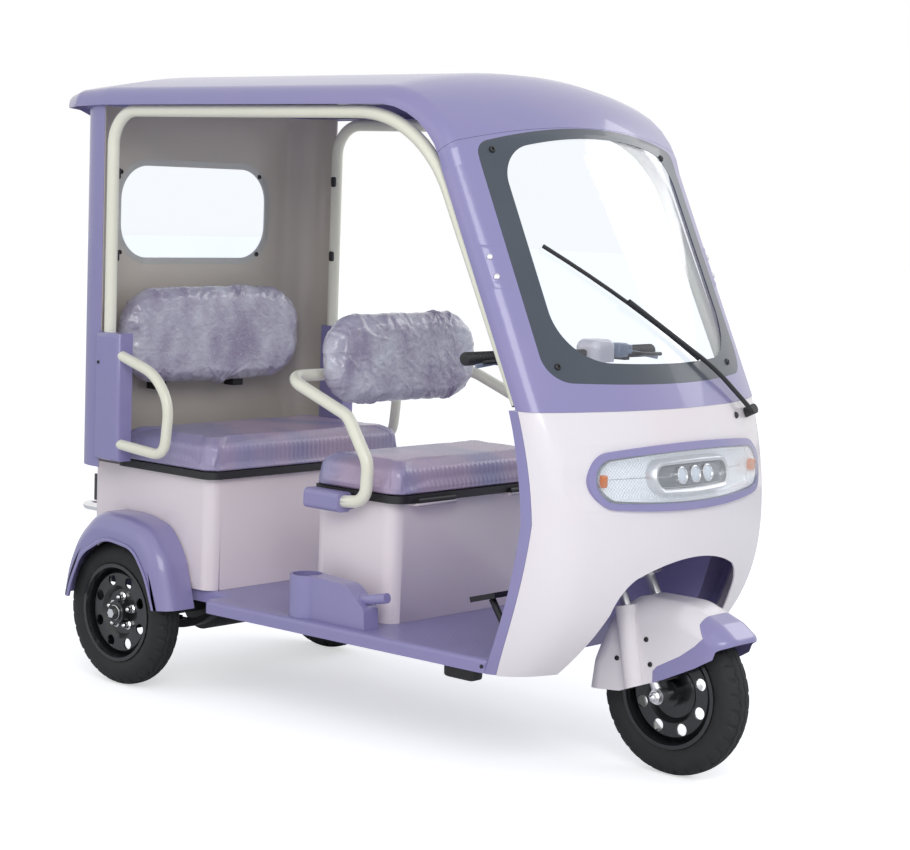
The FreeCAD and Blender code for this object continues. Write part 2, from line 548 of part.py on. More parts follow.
# the rear pad is carried by two flat brackets on the back wall
brackets = [box(WALL_X0 + WALL + SEAM, -160.0 - SEAM, y - 20, y + 20, 800, 1000) for y in (-150, 150)]

# ================================================================ pods, armrests and front seat frame
POD = dict(x0=WALL_X1 + SEAM, x1=68.0, y0=HOOP_Y - 20.0, y1=HOOP_Y + 30.0, z0=622.0, z1=976.0)
pod = box(POD["x0"], POD["x1"], -POD["y1"], -POD["y0"], POD["z0"], POD["z1"])
pod = pod.makeFillet(14.0, [e for e in pod.Edges if abs(e.tangentAt(e.FirstParameter).y) < 0.1 and e.BoundBox.YMax < -POD["y1"] + 1])
pod = pod.cut(cylinder(TUBE_R + SEAM, (HOOP_REAR_X, -HOOP_Y, POD["z0"] - 10), (HOOP_REAR_X, -HOOP_Y, POD["z1"] + 10)))
ARM_Y = HOOP_Y + 4.0
arm_path = [(POD["x1"] + SEAM, 921.0), (178.0, 885.0), (216.0, 815.0), (192.0, 664.0), (POD["x1"] + SEAM, 668.0)]
arm = bent_tube([(x, -ARM_Y, z) for x, z in arm_path], [0, 48, 60, 40, 0], 16.0)
arm = arm.cut(box(POD["x1"] - 40, POD["x1"] + SEAM, -POD["y1"] - 20, -POD["y0"] + 20, POD["z0"], POD["z1"]))

FRAME_Y = 352.0
seat_tube_path = [(792, -FRAME_Y, 604), (868, -FRAME_Y, 612), (872, -FRAME_Y, 712), (800, -FRAME_Y, 826), (584, -FRAME_Y, 908),
                  (584, FRAME_Y, 908), (800, FRAME_Y, 826), (872, FRAME_Y, 712), (868, FRAME_Y, 612), (792, FRAME_Y, 604)]
seat_tube = bent_tube(seat_tube_path, [0, 44, 70, 60, 60, 60, 60, 70, 44, 0], 16.0)
seat_tube = seat_tube.cut(box(752, 792, -FRAME_Y - 30, FRAME_Y + 30, 570, 640))
front_pods = []
for side in (-1, 1):
    p = box(668, 792 - SEAM, 326, 376, 576, 628)
    p = p.makeFillet(14.0, [e for e in p.Edges if abs(e.tangentAt(e.FirstParameter).x) > 0.9])
    p = p.fuse(box(680, 780, FRONT_BOX["y"] + SEAM, 332, 580, 602))
    front_pods.append(p if side > 0 else mirrored(p))
pad_bracket = box(-14, -SEAM, -120, 120, -62, -28)
pad_bracket.rotate(V(0, 0, 0), LEFT, -3.0)
pad_bracket.translate(V(600.0, 0, 955.0))

# ================================================================ rear mudguards
GUARD_Y0, GUARD_Y1 = REAR_BOX["y"] + SEAM, REAR_TRACK_Y + 90.0
GUARD_WALL, GUARD_ROUND = 4.0, 40.0
#          x, z and the corner's radius, from the rear foot round to the front foot
GUARD = [(-252, 230), (-196, 330, 60), (-120, 430, 90), (60, 520, 160), (300, 500, 110), (356, 262)]
GUARD_OPENING = [(-205, 180), (-168, 268, 40), (-118, 356, 70), (16, 430, 130), (150, 380, 90), (206, 180)]


def guard_solid(inset):
    """Block of a mudguard with a rounded outer shoulder, drawn in by a distance."""
    outline = inset_outline(GUARD, inset) if inset else GUARD
    block = side_profile(outline, -GUARD_Y1 + inset, -GUARD_Y0 + inset)
    shoulder = [e for e in block.Edges if e.BoundBox.YMax < -GUARD_Y1 + inset + 0.5 and e.BoundBox.ZMax > 270]
    return block.makeFillet(GUARD_ROUND - inset, shoulder)


guard_in = guard_solid(GUARD_WALL)
guard = guard_solid(0.0).cut(guard_in).cut(guard_in.translated(V(0, 0, -40)))
# the opening in the outer face shows the wheel
guard = guard.cut(side_profile(GUARD_OPENING, -GUARD_Y1 - 5, -GUARD_Y1 + GUARD_ROUND))

# ================================================================ wheels
def tyre(x, y, z):
    half = TYRE_W / 2
    profile = [V(0, -RIM_W / 2 + 8, RIM_R + 0.5), V(0, -half, 160), V(0, -half + 10, TYRE_R - 16), V(0, -24, TYRE_R),
               V(0, 24, TYRE_R), V(0, half - 10, TYRE_R - 16), V(0, half, 160), V(0, RIM_W / 2 - 8, RIM_R + 0.5)]
    wire = rounded_wire(profile, [0, 22, 14, 12, 12, 14, 22, 0], closed=True)
    ring = Part.Face(wire).revolve(V(0, 0, 0), LEFT, 360)
    ring.translate(V(x, y, z))
    return ring


def rim(x, y, z, side, bore):
    """Pressed steel rim: barrel, dished disc with round holes and a hub boss."""
    w = RIM_W / 2
    barrel = [(-w, RIM_R + 8), (-w, RIM_R - 2), (-w + 12, RIM_R - 6), (w - 12, RIM_R - 6), (w, RIM_R - 2), (w, RIM_R + 8),
              (w - 3, RIM_R + 8), (w - 3, RIM_R), (w - 13, RIM_R - 0.5), (-w + 13, RIM_R - 0.5), (-w + 3, RIM_R), (-w + 3, RIM_R + 8)]
    ring = Part.Face(polygon([(0, a, r) for a, r in barrel])).revolve(V(0, 0, 0), LEFT, 360)
    d = side * 8.0
    disc = [(d, bore), (d, 62), (d + side * 12, 74), (d + side * 12, 108), (d - side * 4, RIM_R - 5),
            (d - side * 4 - side * DISC_T, RIM_R - 5), (d + side * 12 - side * DISC_T, 106), (d + side * 12 - side * DISC_T, 76),
            (d - side * DISC_T, 64), (d - side * DISC_T, bore)]
    plate = Part.Face(polygon([(0, a, r) for a, r in disc])).revolve(V(0, 0, 0), LEFT, 360)
    holes = []
    for i in range(RIM_HOLES):
        a = 2 * math.pi * (i + 0.5) / RIM_HOLES
        holes.append(cylinder(RIM_HOLE_R, (RIM_HOLE_AT * math.sin(a), -60, RIM_HOLE_AT * math.cos(a)),
                              (RIM_HOLE_AT * math.sin(a), 60, RIM_HOLE_AT * math.cos(a))))
    plate = plate.cut(Part.makeCompound(holes))
    hub = cylinder(32.0, (0, -34, 0), (0, 34, 0)).cut(cylinder(bore, (0, -60, 0), (0, 60, 0)))
    whole = fuse([ring, plate, hub])
    whole.translate(V(x, y, z))
    return whole


REAR_BORE = STUB_R + STUB_GAP
rear_rim = rim(0, -REAR_TRACK_Y, TYRE_R, -1, REAR_BORE)
nuts = []
for i in range(NUTS):
    a = 2 * math.pi * i / NUTS
    nut = cylinder(NUT_R, (NUT_AT * math.sin(a), -REAR_TRACK_Y - 8, TYRE_R + NUT_AT * math.cos(a)), (NUT_AT * math.sin(a), -REAR_TRACK_Y - 26, TYRE_R + NUT_AT * math.cos(a)))
    nuts.append(nut)
rear_rim = fuse([rear_rim] + nuts)
rear_tyre = tyre(0, -REAR_TRACK_Y, TYRE_R)
front_rim = rim(WHEELBASE, 0, TYRE_R, -1, 10.6)
front_tyre = tyre(WHEELBASE, 0, TYRE_R)

# ================================================================ rear axle, springs and motor
AXLE_R, FLANGE_R, HUB_HALF = 30.0, 52.0, 34.0
END_GAP = 0.5
FLANGE_Y = REAR_TRACK_Y - HUB_HALF - END_GAP          # face against the wheel's hub
CAP_Y = REAR_TRACK_Y + HUB_HALF + END_GAP
DIFF_Y, DIFF_R, DIFF_W = 66.0, 84.0, 96.0
#           y                 radius
AXLE = [(-CAP_Y - 12, 0), (-CAP_Y - 12, 17), (-CAP_Y - 9, 20), (-CAP_Y, 20), (-CAP_Y, STUB_R),
        (-FLANGE_Y, STUB_R), (-FLANGE_Y, FLANGE_R), (-FLANGE_Y + 26, FLANGE_R), (-FLANGE_Y + 34, AXLE_R),
        (DIFF_Y - DIFF_W / 2 - 40, AXLE_R), (DIFF_Y - DIFF_W / 2, DIFF_R), (DIFF_Y + DIFF_W / 2, DIFF_R),
        (DIFF_Y + DIFF_W / 2 + 40, AXLE_R), (FLANGE_Y - 34, AXLE_R), (FLANGE_Y - 26, FLANGE_R), (FLANGE_Y, FLANGE_R),
        (FLANGE_Y, STUB_R), (CAP_Y, STUB_R), (CAP_Y, 20), (CAP_Y + 9, 20), (CAP_Y + 12, 17), (CAP_Y + 12, 0)]
beam = Part.Face(polygon([(r, y, TYRE_R) for y, r in AXLE])).revolve(V(0, 0, TYRE_R), LEFT, 360)
motor = cylinder(80.0, (16, DIFF_Y - DIFF_W / 2 - 2 - 150, TYRE_R), (16, DIFF_Y - DIFF_W / 2 + 6, TYRE_R))
rear_axle = fuse([beam, motor])

SPRING_X, SPRING_HALF, SPRING_W, LEAF_T = 22.0, 180.0, 40.0, 12.0
SPRING_LOW = TYRE_R - AXLE_R - SEAM
springs = []
for side in (-1, 1):
    y0, eye = side * RAIL_Y - SPRING_W / 2, RAIL_TOP - RAIL_H - 26.0
    x0, x1 = SPRING_X - SPRING_HALF, SPRING_X + SPRING_HALF
    leaf = Part.Wire([Part.Arc(V(x0, y0, eye), V(SPRING_X, y0, SPRING_LOW - 4), V(x1, y0, eye)).toShape(),
                      Part.LineSegment(V(x1, y0, eye), V(x1, y0, eye - LEAF_T)).toShape(),
                      Part.Arc(V(x1, y0, eye - LEAF_T), V(SPRING_X, y0, SPRING_LOW - 4 - 2 * LEAF_T), V(x0, y0, eye - LEAF_T)).toShape(),
                      Part.LineSegment(V(x0, y0, eye - LEAF_T), V(x0, y0, eye)).toShape()])
    pieces = [prism(leaf, V(0, SPRING_W, 0)), box(-26, 26, y0, y0 + SPRING_W, SPRING_LOW - 16, SPRING_LOW)]
    for x in (x0 + 12, x1 - 12):
        pieces.append(box(x - 11, x + 11, y0, y0 + SPRING_W, eye - LEAF_T - 4, RAIL_TOP - RAIL_H - SEAM))
    springs.append(fuse(pieces))

# ================================================================ fork, front mudguard, handlebar
LEG_Y_FORK = 66.0
AXLE_Z = TYRE_R
fork_parts, fork_legs, LEG_R = [], [], 14.0
for s in (-1, 1):
    top = steer_at(474) + V(0, s * LEG_Y_FORK, 0)
    foot = V(WHEELBASE, s * LEG_Y_FORK, AXLE_Z)
    fork_legs.append((tuple(top), tuple(foot)))
    fork_parts.append(cylinder(LEG_R, tuple(foot), tuple(top)))
    fork_parts.append(cylinder(20.0, (WHEELBASE, s * (LEG_Y_FORK - 12), AXLE_Z), (WHEELBASE, s * (LEG_Y_FORK + 14), AXLE_Z)))
crown_block = Part.makeBox(64, 2 * LEG_Y_FORK + 32, 22, V(-32, -LEG_Y_FORK - 16, -11))
crown_block.rotate(V(0, 0, 0), LEFT, -math.degrees(math.atan2(-STEER.x, STEER.z)))
crown_block.translate(steer_at(476))
stem = cylinder(STEM_R, tuple(steer_at(470)), tuple(steer_at(985)))
axle_pin = cylinder(10.0, (WHEELBASE, -LEG_Y_FORK - 22, AXLE_Z), (WHEELBASE, LEG_Y_FORK + 22, AXLE_Z))
fork = fuse(fork_parts + [crown_block, stem, axle_pin])

FG_Y, FG_WALL, FG_ROUND = 84.0, 3.0, 54.0
#               x from the axle, z and the corner's radius: the crown from the rear foot to the nose
FG_CROWN = [(-224, 188), (-214, 268, 60), (-164, 384, 70), (-80, 452, 80), (80, 452, 120), (190, 412, 60), (242, 376, 14)]
FG_LOWER = [(232, 350), (140, 298), (40, 252), (-100, 200)]          # back along the lower edge
FRONT_GUARD = [(ahead(p[0]),) + tuple(p[1:]) for p in FG_CROWN + FG_LOWER]
# the coloured trim: a band along the lower edge that widens to a cap on the nose
FG_TRIM = [(ahead(x), z) for x, z in [(8, 240), (8, 270), (21, 284), (95, 323), (139, 355), (163, 378), (142, 410), (152, 480), (300, 480), (300, 240)]]
# the rounded rib over each fork leg
RIB_FOOT, RIB_HEAD, RIB_R = (ahead(-44.0), -FG_Y + 4.0, 190.0), (ahead(-93.0), -FG_Y + 4.0, 428.0), 29.0


def front_guard_solid(inset):
    """Block of the front mudguard with a rounded crown, drawn in by a distance."""
    outline = inset_outline(FRONT_GUARD, inset) if inset else FRONT_GUARD
    block = side_profile(outline, -FG_Y + inset, FG_Y - inset)
    lower = FRONT_GUARD[-len(FG_LOWER):][::-1]

    def on_crown(edge):
        c = edge.CenterOfMass
        if abs(edge.tangentAt(edge.FirstParameter).y) > 0.5:
            return False
        x0, z0 = FRONT_GUARD[0][:2]
        for x1, z1 in [p[:2] for p in lower]:
            if c.x <= x1:
                return c.z > z0 + (z1 - z0) * (c.x - x0) / (x1 - x0) + 14
            x0, z0 = x1, z1
        return True
    return block.makeFillet(FG_ROUND - inset, [e for e in block.Edges if on_crown(e)])


def rib(inset):
    foot, head = V(*RIB_FOOT), V(*RIB_HEAD)
    along = (head - foot).normalize()
    return both_sides(cylinder(RIB_R - inset, tuple(foot - along * inset * 8), tuple(head - along * inset)))


lower_cut = [(ahead(-260), 100), FRONT_GUARD[0][:2]] + [p[:2] for p in FRONT_GUARD[-len(FG_LOWER):][::-1]] + [(ahead(300), 350), (ahead(300), 100)]
front_guard_in = front_guard_solid(FG_WALL)
front_guard = fuse([front_guard_solid(0.0)] + rib(0.0)).cut(front_guard_in).cut(front_guard_in.translated(V(4, 0, -10)))
for hollow_rib in rib(FG_WALL):
    front_guard = front_guard.cut(hollow_rib)
for leg_top, leg_foot in fork_legs:
    front_guard = front_guard.cut(cylinder(LEG_R + 1.0, leg_foot, leg_top))
front_guard = front_guard.cut(side_profile(lower_cut, -FG_Y - 60, FG_Y + 60))
trim_block = side_profile(FG_TRIM, -FG_Y - 60, FG_Y + 60)
front_guard_trim = front_guard.common(trim_block)
front_guard = front_guard.cut(side_profile(inset_outline(FG_TRIM, -SEAM), -FG_Y - 60, FG_Y + 60))
handlebar_z = 1000.0
bar_c = steer_at(handlebar_z)
BAR_HALF, GRIP_L, BAR_R, GRIP_R = 372.0, 122.0, 11.0, 16.5
bar = cylinder(BAR_R, (bar_c.x, -BAR_HALF + 6, bar_c.z), (bar_c.x, BAR_HALF - 6, bar_c.z))
clamp = Part.makeBox(60, 90, 36, V(bar_c.x - 30, -45, bar_c.z - 24))
handlebar = fuse([bar, clamp, cylinder(STEM_R, tuple(steer_at(985 + 0.3)), tuple(steer_at(1000)))])
grips = []
for s in (-1, 1):
    g = cylinder(GRIP_R, (bar_c.x, s * (BAR_HALF - GRIP_L), bar_c.z), (bar_c.x, s * BAR_HALF, bar_c.z))
    grips.append(g.cut(cylinder(BAR_R + 0.05, (bar_c.x, s * (BAR_HALF - GRIP_L - 10), bar_c.z), (bar_c.x, s * (BAR_HALF - 6 + 0.05), bar_c.z))))

# brake levers in front of the grips and a switch block beside each
controls = []
for side in (-1, 1):
    y = side * (BAR_HALF - GRIP_L - 24)
    controls.append(box(bar_c.x - 18, bar_c.x + 26, min(y, y + side * 20), max(y, y + side * 20), bar_c.z - 20, bar_c.z + 20))
    controls.append(bent_tube([(bar_c.x + 20, y + side * 10, bar_c.z), (bar_c.x + 52, y + side * 26, bar_c.z - 2),
                               (bar_c.x + 46, y + side * 128, bar_c.z - 6)], [0, 18, 0], 5.0))
handlebar = fuse([handlebar] + controls).cut(cylinder(STEM_R + 0.05, tuple(steer_at(940)), tuple(steer_at(985.3))))

COWL_Y, COWL_W, COWL_Z = BAR_HALF - 240.0, 92.0, 58.0
cowl = box(bar_c.x - 36, bar_c.x + 40, COWL_Y - COWL_W / 2, COWL_Y + COWL_W / 2, bar_c.z - 22, bar_c.z - 22 + COWL_Z)
cowl = cowl.makeFillet(24.0, [e for e in cowl.Edges if abs(e.tangentAt(e.FirstParameter).z) > 0.9])
cowl = cowl.makeFillet(22.0, [e for e in cowl.Edges if e.BoundBox.ZMin > bar_c.z - 22 + COWL_Z - 1])
cowl = cowl.cut(cylinder(BAR_R + 0.1, (bar_c.x, 0, bar_c.z), (bar_c.x, 300, bar_c.z)))

# ================================================================ wiper
def screen_point(y, z, out=0.0):
    """Point over the windscreen at a width and height, standing off its surface."""
    crown = SCREEN_SECTION[1]
    sag = crown - math.sqrt(crown ** 2 - y ** 2) - out
    zc = z + sag * math.sin(SLOPE)
    return slope_x(zc) - sag * math.cos(SLOPE), y, z


PIVOT_Y, PIVOT_Z = 318.0, 872.0
pivot_at = V(*screen_point(PIVOT_Y, PIVOT_Z, 0.0))
screen_normal = V(math.cos(SLOPE), 0, math.sin(SLOPE))
BLADE = [(-302.0, 1278.0), (112.0, 1011.0)]
ARM = [(PIVOT_Y, PIVOT_Z), (150.0, 988.0), (-105.0, 1152.0)]
BLADE_STEPS = 8
blade_path = [screen_point(*[a + (b - a) * i / BLADE_STEPS for a, b in zip(BLADE[0], BLADE[-1])], 7.0) for i in range(BLADE_STEPS + 1)]
arm_path3 = [screen_point(y, z, off) for (y, z), off in zip(ARM, (16.0, 24.0, 16.0))]
pivot = cylinder(13.0, tuple(pivot_at - screen_normal * 14), tuple(pivot_at + screen_normal * 24)).cut(shell_loft(-SEAM, 0.0, filled=True))
wiper = fuse([bent_tube(blade_path, [0] + [200.0] * (BLADE_STEPS - 1) + [0], 5.0), bent_tube(arm_path3, [0, 500.0, 0], 6.0), pivot])

# ================================================================ brake pedal, parking brake and cup holder
PEDAL_Y = -200.0
PEDAL_X = ahead(-436.0)
pedal_arm = bent_tube([(PEDAL_X + 52, PEDAL_Y, FLOOR_Z + SEAM), (PEDAL_X + 42, PEDAL_Y, 340), (PEDAL_X + 6, PEDAL_Y, 392)], [0, 40, 0], 9.0)
pedal_pad = box(-42, 42, -32, 32, -7, 7)
pedal_pad.rotate(V(0, 0, 0), LEFT, -16.0)
pedal_pad.translate(V(PEDAL_X, PEDAL_Y, 398))
pedal = fuse([pedal_arm, pedal_pad]).cut(box(PEDAL_X, PEDAL_X + 100, PEDAL_Y - 40, PEDAL_Y + 40, SILL_Z, FLOOR_Z + SEAM))

CUP_X, CUP_Y, CUP_R, CUP_BORE, CUP_TOP = 698.0, 71.2 - BODY_Y, 46.0, 39.0, 408.0
unit_z = FLOOR_Z + SEAM
cup = cylinder(CUP_R, (CUP_X, CUP_Y, unit_z), (CUP_X, CUP_Y, CUP_TOP))
quadrant = side_profile([(CUP_X, unit_z), (930, unit_z), (926, 352, 20), (860, 404, 60), (CUP_X + 30, 410, 20), (CUP_X, 400)],
                        CUP_Y - 26, CUP_Y + 26)
brake_lever = cylinder(13.0, (880, CUP_Y, 366), (982, CUP_Y, 386))
parking_unit = fuse([cup, quadrant, brake_lever]).cut(cylinder(CUP_BORE, (CUP_X, CUP_Y, unit_z + 14), (CUP_X, CUP_Y, CUP_TOP + 20)))

# ================================================================ tail
BUMPER_R, BUMPER_Y, BUMPER_X, BUMPER_Z = 11.0, 322.0, -292.0, 462.0
tail_x = REAR_BOX["x0"] - SEAM
bumper = bent_tube([(tail_x, -BUMPER_Y, BUMPER_Z), (BUMPER_X, -BUMPER_Y, BUMPER_Z), (BUMPER_X, BUMPER_Y, BUMPER_Z), (tail_x, BUMPER_Y, BUMPER_Z)],
                   [0, 30, 30, 0], BUMPER_R)
tail_lamp = box(tail_x - 34, tail_x, -352, -236, 492, 566)
tail_lamp = tail_lamp.makeFillet(10.0, [e for e in tail_lamp.Edges if e.BoundBox.XMax < tail_x - 1])
battery = box(-150, 130, -170, 170, REAR_BOX["z0"] + WALL + SEAM, 486)

NODES = dict(
    roof=roof, windscreen_surround=surround, windscreen_pane=pane, windscreen_border=border,
    front_shell=front_shell, headlamp_bezel=lamp_bezel, headlamp_lens=lens, headlamp_housing=lamp_housing,
    leg_shield=leg_shield, wheel_housing=wheel_housing, column_cover=column_cover, floor_pan=floor, chassis=chassis,
    door_hoops=Part.makeCompound(both_sides(hoop)),
    back_wall=back, rear_pane=rear_pane,
    rear_seat_box=rear_box, rear_seat_base=rear_base, rear_seat_cushion=rear_cushion,
    rear_backrest=rear_pad, rear_backrest_brackets=Part.makeCompound(brackets),
    front_seat_box=front_box, front_seat_base=front_base, front_seat_cushion=front_cushion,
    front_seat_tube=fuse([seat_tube, pad_bracket]), front_seat_pods=Part.makeCompound(front_pods), front_backrest=front_pad,
    side_pods=Part.makeCompound(both_sides(pod)), armrests=Part.makeCompound(both_sides(arm)),
    rear_mudguards=Part.makeCompound(both_sides(guard)),
    rear_rim_right=rear_rim, rear_rim_left=mirrored(rear_rim), rear_tyre_right=rear_tyre, rear_tyre_left=mirrored(rear_tyre),
    front_rim=front_rim, front_tyre=front_tyre, rear_axle=rear_axle, leaf_springs=Part.makeCompound(springs),
    fork=fork, handlebar=handlebar, handlebar_grips=Part.makeCompound(grips),
    front_mudguard=front_guard, front_mudguard_trim=front_guard_trim, handlebar_cowl=cowl, wiper=wiper, brake_pedal=pedal, parking_brake_unit=parking_unit,
    rear_bumper=bumper, tail_lamps=Part.makeCompound(both_sides(tail_lamp)), battery=battery,
)

os.makedirs("parts", exist_ok=True)
for name, shape in NODES.items():
    shape = shape.copy()
    shape.translate(V(-ORIGIN_X, 0, 0))
    b = shape.optimalBoundingBox(False, False)
    print(f"{name:26s} solids {len(shape.Solids)} valid {shape.isValid()} vol {shape.Volume/1e6:8.3f} dm3"
          f"  x {b.XMin:7.0f}..{b.XMax:5.0f} y {b.YMin:6.0f}..{b.YMax:5.0f} z {b.ZMin:6.0f}..{b.ZMax:5.0f}")
    shape.exportStep(f"parts/{name}.step")
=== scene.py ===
# %% [markdown]
# # A roofed passenger tricycle, dressed for its picture
#
# The engineering model already has every panel, tube and wheel in place, in metres, with
# +X as the heading and Z up. This notebook gives each of them its finish and adds what is
# too fine or too soft for that model: tyre tread, cushions, bolts, lamp insides and film.
# Reading order: load, camera, light, mesh helpers, finishes, then the pieces one by one.

# %% Load the fixed model
import json
import math

import bmesh
import bpy
import numpy as np
from mathutils import Matrix, Vector
from mathutils.bvhtree import BVHTree


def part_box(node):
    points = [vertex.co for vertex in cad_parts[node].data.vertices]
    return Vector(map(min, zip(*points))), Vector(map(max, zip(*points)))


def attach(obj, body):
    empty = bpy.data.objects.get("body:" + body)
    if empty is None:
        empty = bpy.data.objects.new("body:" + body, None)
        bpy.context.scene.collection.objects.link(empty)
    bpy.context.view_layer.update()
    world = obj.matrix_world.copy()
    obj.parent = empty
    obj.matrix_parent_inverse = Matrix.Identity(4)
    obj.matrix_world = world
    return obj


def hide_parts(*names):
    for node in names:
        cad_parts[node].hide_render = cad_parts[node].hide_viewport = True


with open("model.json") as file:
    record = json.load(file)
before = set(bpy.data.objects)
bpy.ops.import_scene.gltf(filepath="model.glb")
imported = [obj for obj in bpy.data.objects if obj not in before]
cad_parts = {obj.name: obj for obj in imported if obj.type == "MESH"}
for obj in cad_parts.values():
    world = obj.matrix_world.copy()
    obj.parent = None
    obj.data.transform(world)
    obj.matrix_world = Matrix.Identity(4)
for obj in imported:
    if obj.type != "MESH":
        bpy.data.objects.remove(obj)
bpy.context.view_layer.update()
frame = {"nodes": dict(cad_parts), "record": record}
nodes = frame["nodes"]

# %% Names for the places that many pieces share
REAR_AXLE_X, FRONT_AXLE_X = -0.753, 0.847    # metres from the middle of the vehicle
DRAWING_ZERO_X = -0.753                      # where the drawing's own x starts
AXLE_Z, TRACK_Y = 0.204, 0.400
random = np.random.default_rng(7)


def at(x, y, z):
    """A place given in the drawing's millimetres: each over 1000, x moved by -0.753 m."""
    return Vector((x / 1000 + DRAWING_ZERO_X, y / 1000, z / 1000))


def placed(points):
    """The same for a whole array of points."""
    return points / 1000 + (DRAWING_ZERO_X, 0, 0)


def added(name, data):
    """A new object in the scene, at the origin and unturned."""
    made = bpy.data.objects.new(name, data)
    bpy.context.scene.collection.objects.link(made)
    return made


# %% [markdown]
# ## Camera
# A photograph is matched by its lens as much as by its place: a longer lens flattens the
# view. The lens here is 87 mm on a 36 mm sensor, 5.8 m away, a little above the seats, and
# the camera leans by two degrees. Setting the matrix directly is clearer than a chain of
# constraints, because the three axes of the view can be written down as vectors.

# %% Camera at the photograph's place
EYE, AIM, LEAN = Vector((3.925, -4.317, 1.396)), Vector((0.094, 0.0, 0.786)), math.radians(2.092)
ahead = (AIM - EYE).normalized()
level = ahead.cross(Vector((0, 0, 1))).normalized()
upward = level.cross(ahead)
right = level * math.cos(LEAN) + upward * math.sin(LEAN)
up = upward * math.cos(LEAN) - level * math.sin(LEAN)
lens = bpy.data.cameras.new("photo_camera")
lens.lens, lens.sensor_width, lens.sensor_fit = 87.0, 36.0, "HORIZONTAL"
camera = added("photo_camera", lens)
camera.matrix_world = Matrix((right, up, -ahead)).transposed().to_4x4()
camera.location = EYE
bpy.context.scene.camera = camera
print("camera looks from", tuple(round(v, 2) for v in EYE))

# %% [markdown]
# ## Shader maths as plain Python
# A material is a small graph. Wiring it socket by socket hides what it computes, so one
# class wraps a socket and overloads +, - and *, and one method makes any other node.
# After that, `0.3 + 0.1 * noise` is the graph.

# %% The socket wrapper and the node maker
def operator(operation):
    """Method that sends a socket, and a second value if there is one, to a Math node."""
    return lambda self, *other: self.maths(operation, self, *other)


class Signal:
    """One output of a node. Arithmetic on it adds Math nodes."""

    def __init__(self, finish, socket):
        self.finish, self.socket = finish, socket

    def maths(self, operation, *values):
        return self.finish.node("ShaderNodeMath", {"operation": operation}, dict(enumerate(values)))

    __add__ = __radd__ = operator("ADD")
    __mul__ = __rmul__ = operator("MULTIPLY")
    __sub__, __pow__, __abs__ = operator("SUBTRACT"), operator("POWER"), operator("ABSOLUTE")
    __gt__, __lt__ = operator("GREATER_THAN"), operator("LESS_THAN")
    at_least, at_most, sine = operator("MAXIMUM"), operator("MINIMUM"), operator("SINE")

    def __rsub__(self, other):
        return self.maths("SUBTRACT", other, self)

    def clamp(self):
        return self.at_least(0.0).at_most(1.0)


class Finish:
    """A material under construction."""

    def __init__(self, name):
        self.material = bpy.data.materials.new(name)
        self.material.use_nodes = True
        self.tree = self.material.node_tree
        self.tree.nodes.clear()

    def node(self, kind, settings=None, inputs=None, out=0):
        """Adds a node: its settings first, then its inputs, given by place or name."""
        made = self.tree.nodes.new(kind)
        for key, value in (settings or {}).items():
            setattr(made, key, value)
        for key, value in (inputs or {}).items():
            if isinstance(value, Signal):
                self.tree.links.new(value.socket, made.inputs[key])
            else:
                made.inputs[key].default_value = value
        return Signal(self, made.outputs[out]) if made.outputs else made

    def place(self):
        return self.node("ShaderNodeTexCoord", out="Object")

    def split(self, vector):
        parts = self.node("ShaderNodeSeparateXYZ", None, {0: vector}).socket.node
        return [Signal(self, parts.outputs[i]) for i in range(3)]

    def stretch(self, vector, scale, turn=(0, 0, 0)):
        return self.node("ShaderNodeMapping", None,
                         {"Vector": vector, "Scale": scale, "Rotation": turn})

    def noise(self, vector, scale, detail=3.0, rough=0.5):
        return self.node("ShaderNodeTexNoise", None,
                         {"Vector": vector, "Scale": scale, "Detail": detail, "Roughness": rough})

    def blend(self, share, first, second):
        """Mixes two colours."""
        wide = [(*c, 1.0) if isinstance(c, tuple) else c for c in (first, second)]
        return self.node("ShaderNodeMix", {"data_type": "RGBA"},
                         {0: share, 6: wide[0], 7: wide[1]}, out=2)

    def bump(self, height, depth):
        """Tilts the surface by a height in metres."""
        return self.node("ShaderNodeBump", None,
                         {"Height": height, "Distance": depth, "Strength": 1.0})

    def surface(self, **inputs):
        """Ends the graph in the Principled shader, with its sockets by name."""
        named = {key.replace("_", " "): (*v, 1.0) if isinstance(v, tuple) else v
                 for key, v in inputs.items()}
        shader = self.node("ShaderNodeBsdfPrincipled", None, named)
        self.node("ShaderNodeOutputMaterial", None, {0: shader})
        return self.material


def shade(red, green, blue):
    """Linear colour from screen values of 0 to 255: ((v/255 + 0.055) / 1.055) to the 2.4."""
    return tuple(float(((v / 255 + 0.055) / 1.055) ** 2.4) for v in (red, green, blue))


print("helpers for finishes are ready")

# %% [markdown]
# ## Light, floor and background
# A studio picture of a vehicle is lit by large soft sources, so that gloss shows broad
# reflections. The world gives most of the light at an even level, and three area lamps
# model the form. The background is white only for the camera, for mirrors and for glass,
# so it adds no light to the object.

# %% World, lamps and floor
world = bpy.data.worlds.new("studio")
bpy.context.scene.world = world
world.use_nodes = True
sky = world.node_tree.nodes
sky.clear()
path = sky.new("ShaderNodeLightPath")
camera_or_mirror, seen = sky.new("ShaderNodeMath"), sky.new("ShaderNodeMath")
camera_or_mirror.operation = seen.operation = "MAXIMUM"
world.node_tree.links.new(path.outputs["Is Camera Ray"], camera_or_mirror.inputs[0])
world.node_tree.links.new(path.outputs["Is Glossy Ray"], camera_or_mirror.inputs[1])
world.node_tree.links.new(camera_or_mirror.outputs[0], seen.inputs[0])
world.node_tree.links.new(path.outputs["Is Transmission Ray"], seen.inputs[1])
soft, white, both, last = (sky.new("ShaderNodeBackground"), sky.new("ShaderNodeBackground"),
                           sky.new("ShaderNodeMixShader"), sky.new("ShaderNodeOutputWorld"))
soft.inputs[0].default_value, soft.inputs[1].default_value = (0.90, 0.94, 1.0, 1.0), 0.60
